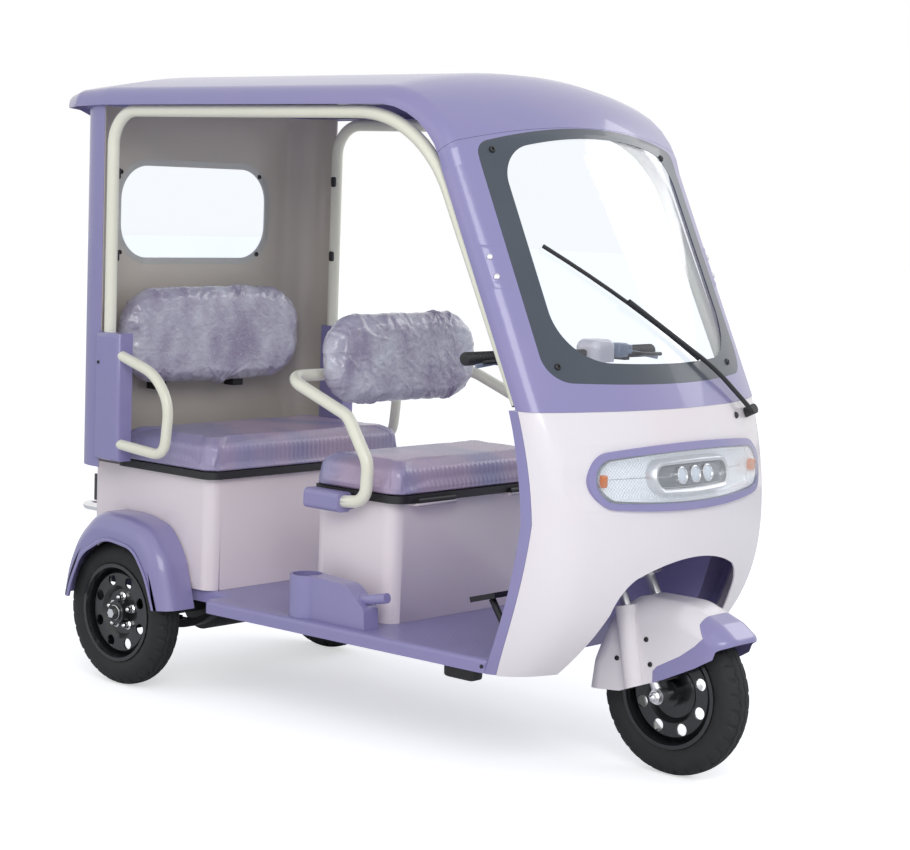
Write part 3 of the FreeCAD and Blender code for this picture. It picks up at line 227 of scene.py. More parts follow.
white.inputs[0].default_value, white.inputs[1].default_value = (1.0, 1.0, 1.0, 1.0), 1.0
for source, target in ((seen.outputs[0], both.inputs[0]), (soft.outputs[0], both.inputs[1]),
                       (white.outputs[0], both.inputs[2]), (both.outputs[0], last.inputs[0])):
    world.node_tree.links.new(source, target)

# name, place, width and height in metres, power in watts
LAMPS = [("front_softbox", (3.6, -3.4, 3.3), 3.0, 2.2, 100.0),
         ("side_softbox", (-1.6, -4.6, 2.6), 3.4, 2.0, 12.0),
         ("far_softbox", (1.5, 4.2, 3.4), 3.0, 2.0, 40.0)]
LIT_MIDDLE = Vector((0.0, 0.0, 0.7))
for name, spot, width, height, power in LAMPS:
    lamp = bpy.data.lights.new(name, "AREA")
    lamp.shape, lamp.size, lamp.size_y, lamp.energy = "RECTANGLE", width, height, power
    holder = added(name, lamp)
    holder.location = spot
    toward = LIT_MIDDLE - Vector(spot)
    holder.rotation_euler = toward.to_track_quat("-Z", "Y").to_euler()

floor_paint = Finish("studio_floor")
lit = floor_paint.node("ShaderNodeBsdfDiffuse", None, {"Color": (0.93, 0.93, 0.94, 1.0)})
glow = floor_paint.node("ShaderNodeEmission", None,
                        {"Color": (1.0, 1.0, 1.0, 1.0), "Strength": 0.54})
eye_ray = floor_paint.node("ShaderNodeLightPath", out="Is Camera Ray")
whitened = floor_paint.node("ShaderNodeAddShader", None, {0: lit, 1: glow})
ground_shader = floor_paint.node("ShaderNodeMixShader", None, {0: eye_ray, 1: lit, 2: whitened})
floor_paint.node("ShaderNodeOutputMaterial", None, {0: ground_shader})
FLOOR_REACH = 40.0
corners = [(x * FLOOR_REACH, y * FLOOR_REACH, 0) for x, y in ((-1, -1), (1, -1), (1, 1), (-1, 1))]
ground = bpy.data.meshes.new("studio_floor")
ground.from_pydata(corners, [], [(0, 1, 2, 3)])
ground.materials.append(floor_paint.material)
floor_object = added("studio_floor", ground)
bpy.context.scene.view_settings.view_transform = "Standard"
print("lamps:", [row[0] for row in LAMPS])

# %% [markdown]
# ## Meshes from formulas
# Each new piece is a surface worked out with numpy: a grid of points, a profile spun round
# an axis, or a ring carried along a path. Whole arrays are computed at once, and one
# function turns any list of such patches into a mesh with closed seams and outward faces.

# %% Patches, spun profiles and tubes
def vertices_of(made):
    spots = np.empty(len(made.data.vertices) * 3)
    made.data.vertices.foreach_get("co", spots)
    return spots.reshape(-1, 3)


def set_vertices(made, spots):
    made.data.vertices.foreach_set("co", spots.ravel())
    made.data.update()


def dress(mesh, material):
    mesh.materials.clear()
    mesh.materials.append(material)


def smoothed(mesh, sharp):
    """Smooth shading, with the edges past an angle in degrees kept sharp."""
    mesh.polygons.foreach_set("use_smooth", np.ones(len(mesh.polygons), bool))
    mesh.set_sharp_from_angle(angle=math.radians(sharp))


def merged(node, name, longest=None):
    """Copy of a model piece, doubled points merged; level edges past longest (m) are cut in ten."""
    source = bmesh.new()
    source.from_mesh(nodes[node].data)
    bmesh.ops.remove_doubles(source, verts=source.verts, dist=1e-5)
    if longest:
        level = [e for e in source.edges
                 if (e.verts[0].co.xy - e.verts[1].co.xy).length > longest]
        bmesh.ops.subdivide_edges(source, edges=level, cuts=9)
        bmesh.ops.triangulate(source, faces=source.faces)
    mesh = bpy.data.meshes.new(name)
    source.to_mesh(mesh)
    source.free()
    return added(name, mesh)


def grid_faces(rows, columns, close_rows=False, close_columns=False):
    """Quads of a grid whose point (i, j) has the index i * columns + j."""
    i = np.arange(rows if close_rows else rows - 1)[:, None]
    j = np.arange(columns if close_columns else columns - 1)[None, :]
    i2, j2 = (i + 1) % rows, (j + 1) % columns
    quads = [i * columns + j, i * columns + j2, i2 * columns + j2, i2 * columns + j]
    return np.stack([q + 0 * (i + j) for q in quads], -1).reshape(-1, 4)


def patch(points, **closed):
    """A grid of points, shape (rows, columns, 3), with its faces."""
    return points.reshape(-1, 3), grid_faces(points.shape[0], points.shape[1], **closed)


def frame_of(axis):
    """Two unit vectors across an axis."""
    axis = np.asarray(axis, float) / np.linalg.norm(axis)
    side = np.cross(axis, (0, 0, 1) if abs(axis[2]) < 0.9 else (1, 0, 0))
    side = side / np.linalg.norm(side)
    return axis, side, np.cross(axis, side)


def spun(profile, centre, axis, steps=32):
    """Profile of (radius, height) rows turned round an axis: c + h a + r (cos t s + sin t u)."""
    axis, side, over = frame_of(axis)
    turn = np.linspace(0, 2 * np.pi, steps, endpoint=False)
    ring = np.cos(turn)[:, None] * side + np.sin(turn)[:, None] * over
    radius, height = np.asarray(profile, float).T
    points = (np.asarray(centre, float) + height[:, None, None] * axis
              + radius[:, None, None] * ring[None])
    return patch(points, close_columns=True)


def smooth_line(points, count):
    """Catmull-Rom curve through points, resampled at count places by its parameter."""
    p = np.asarray(points, float)
    p = np.vstack([2 * p[0] - p[1], p, 2 * p[-1] - p[-2]])
    t = np.linspace(0, len(p) - 3 - 1e-9, count)
    k = t.astype(int)
    t = (t - k)[:, None]
    a, b, c, d = p[k], p[k + 1], p[k + 2], p[k + 3]
    return 0.5 * (2 * b + (c - a) * t + (2 * a - 5 * b + 4 * c - d) * t ** 2
                  + (3 * b - a - 3 * c + d) * t ** 3)


def tube(line, radius, sides=14, flat=1.0, wide_axis=(0, 0, 1)):
    """Ring carried along a line, with closed ends; flat squeezes it across wide_axis."""
    line = np.asarray(line, float)
    along = np.gradient(line, axis=0)
    along /= np.linalg.norm(along, axis=1)[:, None]
    side = np.cross(along, wide_axis)
    side /= np.linalg.norm(side, axis=1)[:, None]
    over = np.cross(side, along)
    turn = np.linspace(0, 2 * np.pi, sides, endpoint=False)
    size = np.broadcast_to(radius, len(line))[:, None, None]
    points = line[:, None] + size * (np.cos(turn)[None, :, None] * side[:, None] * flat
                                     + np.sin(turn)[None, :, None] * over[:, None])
    ends = [np.repeat(line[:1, None], sides, 1), np.repeat(line[-1:, None], sides, 1)]
    return patch(np.concatenate([ends[0], points, ends[1]]), close_columns=True)


def piece(name, patches, slot, body="body", finish=None, hides=(), sharp=35.0):
    """One object from patches: doubles merged, faces turned outwards, riding on its body."""
    points, faces, start = [], [], 0
    for p, f in patches:
        points.append(p)
        faces.append(f + start)
        start += len(p)
    mesh = bpy.data.meshes.new(name)
    mesh.from_pydata(np.concatenate(points).tolist(), [], np.concatenate(faces).tolist())
    tidy = bmesh.new()
    tidy.from_mesh(mesh)
    bmesh.ops.remove_doubles(tidy, verts=tidy.verts, dist=1e-6)
    bmesh.ops.dissolve_degenerate(tidy, edges=tidy.edges, dist=1e-7)
    bmesh.ops.recalc_face_normals(tidy, faces=tidy.faces)
    tidy.to_mesh(mesh)
    tidy.free()
    mesh.materials.append(finish or FINISH[slot])
    smoothed(mesh, sharp)
    made = added(name, mesh)
    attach(made, body)
    if hides:
        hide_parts(*hides)
    print(f"{name}: {len(mesh.polygons)} faces")
    return made


def both_sides(patches):
    """The patches and their mirror images in the plane y = 0."""
    return list(patches) + [(p * (1, -1, 1), f[:, ::-1]) for p, f in patches]


def tree_of(*names):
    """Search tree over one or several model pieces, for rays."""
    points, faces = [], []
    for name in names:
        data = nodes[name].data
        faces += [tuple(i + len(points) for i in f.vertices) for f in data.polygons]
        points += [v.co.copy() for v in data.vertices]
    return BVHTree.FromPolygons(points, faces)


trees = {}


def touch(node, start, toward):
    """Where a ray from start first meets a node's surface, and the way out of it there."""
    if node not in trees:
        trees[node] = tree_of(node)
    spot, out, _, _ = trees[node].ray_cast(Vector(start), Vector(toward).normalized())
    if spot is None:
        raise ValueError(f"no {node} at {start}")
    return np.array(spot), np.array(out) * (-1 if out.dot(Vector(toward)) > 0 else 1)

# %% [markdown]
# ## Finishes
# The body is moulded plastic and painted steel. Real gloss plastic is never perfectly even:
# it has a slight ripple, a fine cloud of tone and a clear top layer. Each finish below is
# one function of object coordinates, so the pattern stays with the piece as it moves.

# %% Moulded plastic and paint
def glossy(name, colour, cloud, rough=0.26, coat=0.5, ripple=0.0006):
    """Colour drifts towards cloud by a soft noise; roughness and a shallow ripple vary with it."""
    f = Finish(name)
    where = f.place()
    drift = f.noise(where, 3.0, 3.0, 0.55)
    grain = f.noise(where, 90.0, 2.0)
    base = f.blend((drift * 1.6 - 0.3 + 0.05 * grain).clamp(), colour, cloud)
    return f.surface(Base_Color=base, Roughness=rough + 0.10 * drift + 0.04 * grain,
                     Coat_Weight=coat, Coat_Roughness=0.06,
                     Normal=f.bump(f.noise(where, 9.0, 2.0), ripple))


LILAC, LILAC_WARM = shade(140, 136, 184), shade(148, 140, 184)
FINISH = {
    "lilac": glossy("lilac_plastic", LILAC, LILAC_WARM),
    "pearl_white": glossy("pearl_plastic", shade(238, 234, 238), shade(240, 229, 231), 0.24, 0.6),
    "cream_paint": glossy("cream_paint", shade(241, 239, 222), shade(236, 234, 212), 0.3, 0.4),
    "box_paint": glossy("seat_box_paint", shade(240, 230, 233), shade(240, 226, 228), 0.32, 0.35),
    "black_frame": glossy("frame_black", shade(26, 26, 28), shade(40, 39, 40), 0.5, 0.1, 0.001),
    "black_rim": glossy("rim_black", shade(22, 24, 26), shade(34, 37, 39), 0.22, 0.5),
    "battery_case": glossy("battery_black", shade(30, 30, 34), shade(40, 40, 44), 0.6, 0.0, 0.001),
}


# where the wall's round corners start, and the radius between its inner and outer face (metres)
ROUND_X, ROUND_Y, ROUND_R = -0.847, 0.339, 0.1083


def wall_finish():
    """Outside lilac, inside a warm grey: the inside is nearer than a radius to a rounded box."""
    f = Finish("back_wall_paint")
    where = f.place()
    x, y, _ = f.split(where)
    past_x, past_y = (ROUND_X - x).at_least(0.0), (abs(y) - ROUND_Y).at_least(0.0)
    inside = (past_x * past_x + past_y * past_y) < ROUND_R * ROUND_R
    drift = f.noise(where, 2.5, 3.0)
    warm = f.blend(drift, shade(190, 184, 174), shade(205, 196, 182))
    outside = f.blend(drift, LILAC, LILAC_WARM)
    return f.surface(Base_Color=f.blend(inside, outside, warm), Roughness=0.3 + 0.12 * drift,
                     Coat_Weight=0.3, Coat_Roughness=0.1,
                     Normal=f.bump(f.noise(where, 14.0, 2.0), 0.0008))


def moulded_black(name, dark, pale, rough):
    """Black plastic with a fine leather-like grain from small cells."""
    f = Finish(name)
    where = f.place()
    cells = f.node("ShaderNodeTexVoronoi", {"feature": "DISTANCE_TO_EDGE"},
                   {"Vector": where, "Scale": 420.0})
    drift = f.noise(where, 12.0, 3.0)
    return f.surface(Base_Color=f.blend(drift, dark, pale), Roughness=rough + 0.15 * drift,
                     Normal=f.bump(cells, 0.00025))


FINISH["wall_paint"] = wall_finish()
FINISH["black_plastic"] = moulded_black("grained_black", shade(24, 24, 26), shade(44, 44, 47), 0.42)
print("finishes:", sorted(FINISH))

# %% [markdown]
# ## Glass, lamp and metal
# The windscreen is clear sheet with a slate border printed on it. Glass in a path tracer is
# refraction; for a thin pane, a transparent shader mixed with a sharp reflection by the
# viewing angle is lighter to render and exports well, so the pane is made that way.

# %% Clear pieces and bright metal
def clear_sheet(name, tint, share, rough=0.03):
    """Mostly see-through; the gloss share grows with the fourth power of the grazing angle."""
    f = Finish(name)
    where = f.place()
    smear = f.noise(where, 5.0, 4.0)
    shine = f.node("ShaderNodeBsdfGlossy", None,
                   {"Color": (1, 1, 1, 1), "Roughness": rough + 0.02 * smear})
    clear = f.node("ShaderNodeBsdfTransparent", None, {"Color": (*tint, 1.0)})
    facing = f.node("ShaderNodeLayerWeight", None, {"Blend": 0.5}, out="Facing")
    gloss = ((facing ** 4.0) * 0.6 + share * smear).clamp()
    mixed = f.node("ShaderNodeMixShader", None, {0: gloss, 1: clear, 2: shine})
    f.node("ShaderNodeOutputMaterial", None, {0: mixed})
    return f.material


def metal(name, pale, dark, rough, brushed=(1, 1, 1)):
    """Metal with a faint brushed streak along one axis."""
    f = Finish(name)
    streak = f.noise(f.stretch(f.place(), brushed), 60.0, 3.0)
    return f.surface(Base_Color=f.blend(streak, pale, dark), Metallic=1.0,
                     Roughness=rough + 0.12 * streak, Normal=f.bump(streak, 0.0001))


FINISH["clear_glass"] = clear_sheet("clear_pane", (0.96, 0.98, 1.0), 0.06)
FINISH["lamp_lens"] = clear_sheet("lamp_lens", (0.97, 0.98, 0.99), 0.10, 0.05)
FINISH["silver"] = metal("silver_tube", (0.78, 0.78, 0.79), (0.62, 0.62, 0.64), 0.28, (1, 1, 6))
FINISH["chrome"] = metal("bright_chrome", (0.86, 0.86, 0.87), (0.76, 0.76, 0.78), 0.08)
FINISH["screen_border"] = glossy("screen_border", shade(66, 76, 88), shade(54, 62, 74),
                                 0.3, 0.3, 0.0003)
FINISH["lamp_housing"] = glossy("lamp_reflector", shade(214, 218, 222), shade(236, 238, 240),
                                0.16, 0.6)


LAMP_CASE_X = -0.984    # metres; the red lens lies behind this plane


def tail_lamp():
    """Red lens behind a plane 28 mm from the lamp's front, black case before it."""
    f = Finish("tail_lamp_case_and_lens")
    where = f.place()
    x, _, z = f.split(where)
    lens = x < LAMP_CASE_X
    grooves = (z * (2 * math.pi / 0.006)).sine()
    red = f.blend(grooves * 0.3 + 0.5, shade(150, 16, 18), shade(116, 8, 12))
    base = f.blend(lens, shade(28, 27, 30), red)
    return f.surface(Base_Color=base, Roughness=0.16 + 0.1 * f.noise(where, 30.0), Coat_Weight=0.8,
                     Normal=f.bump(grooves * lens, 0.0006))


FINISH["red_lamp"] = tail_lamp()


# %% Rubber
def rubber():
    """Dark grey with dust: paler where the noise is high, dull all over."""
    f = Finish("tyre_rubber")
    where = f.place()
    dust = f.noise(where, 22.0, 5.0, 0.6)
    fine = f.noise(where, 300.0, 2.0)
    base = f.blend((dust * 1.4 - 0.35).clamp(), shade(22, 23, 24), shade(46, 46, 46))
    return f.surface(Base_Color=base, Roughness=0.62 + 0.2 * dust, Normal=f.bump(fine, 0.0003))


FINISH["tyre"] = rubber()

# %% [markdown]
# ## Vinyl and film
# The cushions are lilac vinyl under a stretched clear film, and the backrests are wrapped
# in the same film, loose and crumpled. The vinyl's wide soft blue and pink banding is painted
# reflection of the film, and its fine pale streak lines down the sides are painted highlights.
# The film's gloss is a clear coat over the colour, broken up by sharp creases; on the pads,
# paler patches and pale glints on the sharpest folds are painted sheen and highlights.

# %% Cushion vinyl and wrapped pads
def vinyl():
    """Blue-lilac and pink-lilac banding across the seat, painted as reflection of the film; pale
    streak lines down its sides, painted highlights, from a noise that also sets roughness and bump.
    """
    f = Finish("seat_vinyl")
    where = f.place()
    # painted reflection: a wide, slow noise swings the colour between blue-lilac and pink-lilac in
    # place of reflections in the film
    reflection_bands = f.noise(f.stretch(where, (3.0, 4.5, 0.4)), 1.3, 1.0)
    streaks_and_highlight = f.noise(f.stretch(where, (60.0, 60.0, 4.0)), 1.6, 4.0, 0.65)
    pores = f.noise(where, 700.0, 1.0)
    tone = f.blend((reflection_bands * 5.0 - 2.0).clamp(), shade(150, 146, 182), shade(180, 160, 186))
    # painted highlight: pale colour mixed in along the streak noise, which also drives roughness
    # and bump below
    base = f.blend(((streaks_and_highlight - 0.60) * 3.0).clamp() * 0.5, tone, shade(206, 196, 216))
    return f.surface(Base_Color=base, Roughness=0.34 + 0.2 * streaks_and_highlight, Coat_Weight=0.5,
                     Coat_Roughness=0.12, Normal=f.bump(pores * 0.15 + streaks_and_highlight, 0.0012))


def wrapped():
    """Purple pad under crumpled film: paler patches painted as the film's sheen, and pale glints
    painted on the sharpest folds.
    """
    f = Finish("film_wrapped_pad")
    where = f.place()
    patches = f.noise(f.stretch(where, (1.0, 1.4, 1.0)), 7.0, 2.0, 0.6)
    folds = f.node("ShaderNodeTexVoronoi", {"feature": "DISTANCE_TO_EDGE"},
                   {"Vector": f.stretch(where, (1.0, 1.0, 1.6), (0.5, 0.3, 0.2)), "Scale": 34.0})
    crumple = f.noise(where, 58.0, 5.0, 0.7)
    # painted sheen: the pale end of this tone stands for light on the film, not a colour of the pad
    tone = f.blend((patches * 3.0 - 1.0).clamp(), shade(156, 146, 172), shade(206, 206, 218))
    # painted highlight: pale colour where the fold edges and high crumple meet
    painted_glint = ((0.06 - folds) * 14.0).clamp() * ((crumple - 0.50) * 6.0).clamp()
    base = f.blend(painted_glint * 0.7, tone, shade(232, 230, 236))
    return f.surface(Base_Color=base, Roughness=0.20 + 0.25 * crumple, Coat_Weight=0.9,
                     Coat_Roughness=0.07, Normal=f.bump(folds * 0.5 + crumple, 0.006))


FINISH["vinyl"], FINISH["film_pad"] = vinyl(), wrapped()

# %% Every fixed node takes its finish from the record's slot
slot_of = {row["node"]: row["material_slot"] for row in frame["record"]["subparts"]}
for name, holder in nodes.items():
    dress(holder.data, FINISH[slot_of[name]])
print(len(slot_of), "nodes dressed")


FLOOR_TOP_Z, RIBS_HALF_WIDTH, RIB_PITCH = 0.2975, 0.405, 0.011    # metres


def ribbed_floor():
    """Lilac floor with fine ribs: a sine of y on the flat top inside its border."""
    f = Finish("ribbed_floor")
    where = f.place()
    _, y, z = f.split(where)
    top = (z > FLOOR_TOP_Z) * (abs(y) < RIBS_HALF_WIDTH)
    ribs = (y * (2 * math.pi / RIB_PITCH)).sine()
    drift = f.noise(where, 3.0, 3.0)
    return f.surface(Base_Color=f.blend(drift, LILAC, LILAC_WARM), Roughness=0.34 + 0.12 * drift,
                     Coat_Weight=0.3, Coat_Roughness=0.12, Normal=f.bump(ribs * top, 0.0011))


nodes["floor_pan"].data.materials[0] = ribbed_floor()

# %% [markdown]
# ## Tyres
# A scooter tyre has a rounded shoulder, grooves round the tread and slots across it. The
# model's plain ring keeps the outline. Here the section is a closed curve, the grid turns it
# round the axle, and grooves are cut by lowering the radius where a pattern of angle and
# width says so.

# %% One tyre surface, used three times
AROUND, ZIGZAGS, SLOTS = 384, 40, 32                  # steps and counts round the tyre
GROOVES, GROOVE_DEPTH = (-0.0165, 0.0, 0.0165), 0.0042    # places across the tread, depth (m)
BEAD_R = 0.1292                                       # where the rubber ends at the rim


def tyre_patch(x, y):
    """Section points (width w, radius r) turned round the axle; r drops by the groove's depth."""
    half = [(0.0, 0.2035), (0.011, 0.2028), (0.021, 0.1995), (0.030, 0.1928), (0.0365, 0.183),
            (0.0405, 0.171), (0.0412, 0.158), (0.0385, 0.146), (0.034, 0.137), (0.0305, 0.130)]
    right_half = smooth_line([(w, r, 0) for w, r in half], 44)[:, :2]
    section = np.vstack([right_half[::-1] * (-1, 1), right_half[1:]])
    w, r = section[:, 0], section[:, 1]
    around = np.linspace(0, 2 * np.pi, AROUND, endpoint=False)
    angle, width = np.meshgrid(around, w, indexing="ij")
    zigzag = 0.0022 * (2 * np.abs((angle * ZIGZAGS / (2 * np.pi)) % 1 - 0.5) * 2 - 1)
    depth = np.zeros_like(angle)
    for centre in GROOVES:
        depth = np.maximum(depth, np.clip(1.6 - np.abs(width - centre - zigzag) / 0.0013, 0, 1))
    off = np.abs(width)
    slots = np.clip(1.5 - np.abs((angle * SLOTS / (2 * np.pi) + 9 * off) % 1 - 0.5) / 0.09, 0, 1)
    outer = np.clip((off - 0.0195) / 0.002, 0, 1) * np.clip((0.0375 - off) / 0.004, 0, 1)
    depth = np.maximum(depth, slots * outer)
    radius = r[None, :] - GROOVE_DEPTH * depth
    radius = np.pad(radius, ((0, 0), (1, 1)), constant_values=BEAD_R)
    width, angle = np.pad(width, ((0, 0), (1, 1))), np.pad(angle, ((0, 0), (1, 1)), mode="edge")
    points = np.stack([x + radius * np.sin(angle), y + width, AXLE_Z + radius * np.cos(angle)], -1)
    return patch(points, close_rows=True)


WHEELS = [("rear_tyre_right", "rear_wheel_right", REAR_AXLE_X, -TRACK_Y),
          ("rear_tyre_left", "rear_wheel_left", REAR_AXLE_X, TRACK_Y),
          ("front_tyre", "front_wheel", FRONT_AXLE_X, 0.0)]
for node, body, x, y in WHEELS:
    piece(node.replace("tyre", "tread"), [tyre_patch(x, y)], "tyre", body, hides=[node])

# %% [markdown]
# ## Panels trimmed to the photograph
# A workshop trims a moulded panel until it lines up with its neighbours. The same is done
# here: a few panels of the model are some millimetres longer or wider than the photograph
# shows, so a merged copy of each is squeezed into the box that was measured in the picture.
# One rule per panel, applied to all its points at once, keeps every curve smooth.

# %% A merged copy whose points follow a rule
def trimmed(node, body, rule, longest=None):
    """Copy of a model piece whose points, in the drawing's millimetres, are moved by a rule."""
    made = merged(node, node + "_trimmed", longest)
    drawn = (vertices_of(made) - (DRAWING_ZERO_X, 0, 0)) * 1000
    set_vertices(made, placed(rule(drawn)))
    dress(made.data, FINISH[slot_of[node]])
    smoothed(made.data, 32.0)
    shading = made.modifiers.new("large faces rule the shading", "WEIGHTED_NORMAL")
    shading.keep_sharp, shading.weight = True, 50
    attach(made, body)
    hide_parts(node)
    return made


def squeezed(old, new):
    """Rule that takes one box of (x0, x1, half width, z0, z1) onto another, each axis by itself."""
    a, b = np.array(old, float), np.array(new, float)
    scale = np.array([(b[1] - b[0]) / (a[1] - a[0]), b[2] / a[2], (b[4] - b[3]) / (a[4] - a[3])])
    shift = np.array([b[0] - a[0] * scale[0], 0.0, b[3] - a[3] * scale[2]])
    return lambda spots: spots * scale + shift


# node, body, box in the model, box in the photograph
TRIMS = [("side_pods", "body", (-70, 68, 462, 622, 976), (-77, 23, 462, 628, 980)),
         ("tail_lamps", "body", (-238, -204, 352, 492, 566), (-238, -204, 330, 484, 560)),
         ("front_seat_tube", "body", (568, 887, 368, 588, 927), (551, 887, 368, 588, 924)),
         *((node, "steering", (1376, 1839, 109, 188, 452), (1376, 1797, 108, 188, 436))
           for node in ("front_mudguard", "front_mudguard_trim"))]
for node, body, old, new in TRIMS:
    trimmed(node, body, squeezed(old, new))


def slid(old_x, new_x):
    """Rule that moves x alone, by straight steps between places, so that hinges stay put."""
    return lambda spots: np.column_stack([np.interp(spots[:, 0], old_x, new_x), spots[:, 1:]])


trimmed("rear_seat_box", "body", slid((-204, 150, 307), (-204, 150, 300)))
trimmed("front_seat_box", "body", slid((652, 900, 959), (635, 900, 959)))

NOSE_ROUND, NOSE_LEAN, LAMP_NARROWER = 1063.0, 0.2, 345.0 / 400.0
LAMP_MODEL_Z, LAMP_MIDDLE_Z, LAMP_TALLER = 748.0, 742.0, 160.0


def hollow(y):
    """How far the crowned nose falls back at a width y: R - sqrt(R^2 - y^2)."""
    return NOSE_ROUND - np.sqrt(NOSE_ROUND ** 2 - y ** 2)


def taper(y):
    """The lamp gets lower towards its ends: 1 - 0.17 (y / 285)^2."""
    return 1 - 0.17 * (y / 285.0) ** 2


def lamp_rule(spots):
    """Narrows and tapers the lamp, sliding each point along the crowned, leaning nose."""
    y = spots[:, 1] * LAMP_NARROWER
    z = LAMP_MIDDLE_Z + (spots[:, 2] - LAMP_MODEL_Z) * LAMP_TALLER / 152 * taper(y)
    x = spots[:, 0] + hollow(spots[:, 1]) - hollow(y) - NOSE_LEAN * (z - spots[:, 2])
    return np.stack([x, y, z], -1)


for node in ("headlamp_bezel", "headlamp_lens", "headlamp_housing"):
    trimmed(node, "body", lamp_rule)


WALL_REAR_X, OVERHANG = -205.0, 131.0    # the back wall's rear face, the roof's reach past it


def tail_rule(spots):
    """The roof's overhang gets a quarter shorter and its corners are drawn in by a parabola."""
    over = np.minimum(spots[:, 0] - WALL_REAR_X, 0.0)
    narrower = 1 - 0.28 * (over / OVERHANG) ** 2
    return np.stack([spots[:, 0] - over * 0.25, spots[:, 1] * narrower, spots[:, 2]], -1)


WALL_X, WALL_Y = -94.0, 339.0    # where the wide corners start
TIGHT = 110.0 - 34.0             # the model rounds these corners by 34 mm


def corner_rule(spots):
    """Tight corners become wide: distance from a small-cornered square becomes the radius."""
    dx = np.minimum(spots[:, 0] - WALL_X, 0.0)
    dy = np.maximum(np.abs(spots[:, 1]) - WALL_Y, 0.0)
    past_x, past_y = np.maximum(-dx - TIGHT, 0.0), np.maximum(dy - TIGHT, 0.0)
    far = np.where(past_x + past_y > 0, TIGHT + np.hypot(past_x, past_y), np.maximum(-dx, dy))
    near = np.maximum(np.hypot(dx, dy), 1e-9)
    in_corner = (dx < 0) & (dy > 0)
    pull = np.where(in_corner, far / near, 1.0)
    x = np.where(dx < 0, WALL_X + dx * pull, spots[:, 0])
    y = np.where(dy > 0, np.sign(spots[:, 1]) * (WALL_Y + dy * pull), spots[:, 1])
    return np.stack([x, y, spots[:, 2]], -1)


trimmed("roof", "body", tail_rule)
trimmed("back_wall", "body", corner_rule, longest=0.05)
print(len(TRIMS) + 7, "panels trimmed")

# %% The nose beside the narrower lamp
RIM_STEPS = 96


def stadium(half_long, radius, middle_z):
    """Closed outline of two half circles joined by straight runs: (y, z)."""
    t = np.linspace(0, 2 * np.pi, RIM_STEPS, endpoint=False) + np.pi / RIM_STEPS
    run = np.clip(np.abs(np.cos(t)) * 3.0, 0, 1) * np.sign(np.cos(t)) * (half_long - radius)
    return run + radius * np.cos(t), middle_z + radius * np.sin(t)


FAR_AHEAD, FAR_RIGHT = 1900, -900            # where rays start, clear of the vehicle
BACK, LEFTWARD = (-1, 0, 0), (0, 1, 0)       # and where they go
SHELL_CUT, LAMP_RIM = (405.0, 81.0), (392.0, 68.0)    # half length, radius: shell, lamp
outer_y, outer_z = stadium(*SHELL_CUT, LAMP_MODEL_Z)
inner = lamp_rule(np.stack([np.zeros(RIM_STEPS), *stadium(*LAMP_RIM, LAMP_MODEL_Z)], -1))
nose = tree_of("front_shell")
outer_x = np.array([nose.ray_cast(at(FAR_AHEAD, y, z), Vector(BACK))[0].x
                    for y, z in zip(outer_y, outer_z)])
outer_x = (outer_x - DRAWING_ZERO_X) * 1000 + 0.5
mix = np.linspace(0, 1, 6)[:, None]
y = outer_y + (inner[:, 1] - outer_y) * mix
z = outer_z + (inner[:, 2] - outer_z) * mix
x = outer_x + hollow(outer_y) - hollow(y) - NOSE_LEAN * (z - outer_z)
ring = placed(np.stack([x, y, z], -1))
piece("nose_round_lamp", [patch(ring, close_columns=True)], "pearl_white")

# %% [markdown]
# ## Rear mudguards and armrests
# A mudguard is one pressing: a crown that follows the wheel, a rounded shoulder, a side
# face, and a rolled edge round the wheel opening that keeps it stiff. Its section is drawn
# once and carried along two curves, the outer outline and the opening. The armrests are
# bent tubes: straight runs joined by equal bends.

# %% Sections carried along two curves
def bends(points, cut, steps=8):
    """Straight runs with each inner corner rounded by a parabola that starts a cut before it."""
    p = np.asarray(points, float)
    line = [p[0]]
    for a, b, c in zip(p[:-2], p[1:-1], p[2:]):
        enter = b + (a - b) / np.linalg.norm(a - b) * cut
        leave = b + (c - b) / np.linalg.norm(c - b) * cut
        t = np.linspace(0, 1, steps)[:, None]
        line += list(enter * (1 - t) ** 2 + 2 * b * t * (1 - t) + leave * t ** 2)
    return np.array(line + [p[-1]])


def even(line, count):
    """The same line with its points at equal distances."""
    run = np.concatenate([[0], np.cumsum(np.linalg.norm(np.diff(line, axis=0), axis=1))])
    places = np.linspace(0, run[-1], count)
    return np.stack([np.interp(places, run, line[:, k]) for k in range(line.shape[1])], -1)


# x, z of the crown's line and of the wheel opening, from behind forward
CROWN = [(-213, 232), (-193, 322), (-147, 412), (-71, 482),
         (51, 484), (151, 460), (211, 384), (249, 246)]
OPENING = [(-167, 230), (-159, 266), (-111, 360), (-9, 416), (109, 402), (165, 330), (198, 244)]
GUARD_STEPS, ARM_STEPS, ARM_Y = 90, 70, -446.0
crown, opening = even(bends(CROWN, 38), GUARD_STEPS), even(bends(OPENING, 36), GUARD_STEPS)
reach = np.linalg.norm(opening - crown, axis=1)
inward = (opening - crown) / reach[:, None]
SHOULDER, FACE_Y, GUARD_BACK_Y, SHEET, ROLL_R = 50.0, 470.0, 366.0, 4.0, 5.0
bow = np.linspace(0, np.pi / 2, 10)


def guard_layer(gap):
    """Depth below the crown, share of the reach, and y, of a layer a gap inside the outer one."""
    r = SHOULDER - gap
    y = np.concatenate([[GUARD_BACK_Y, FACE_Y - SHOULDER - 20],
                        FACE_Y - SHOULDER + r * np.sin(bow), np.full(4, FACE_Y - gap)])
    depth = np.concatenate([[gap, gap], gap + r * (1 - np.cos(bow)), np.zeros(4)])
    share = np.concatenate([np.zeros(12), [0.75, 0.85, 0.93, 1.0]])
    return depth, share, y


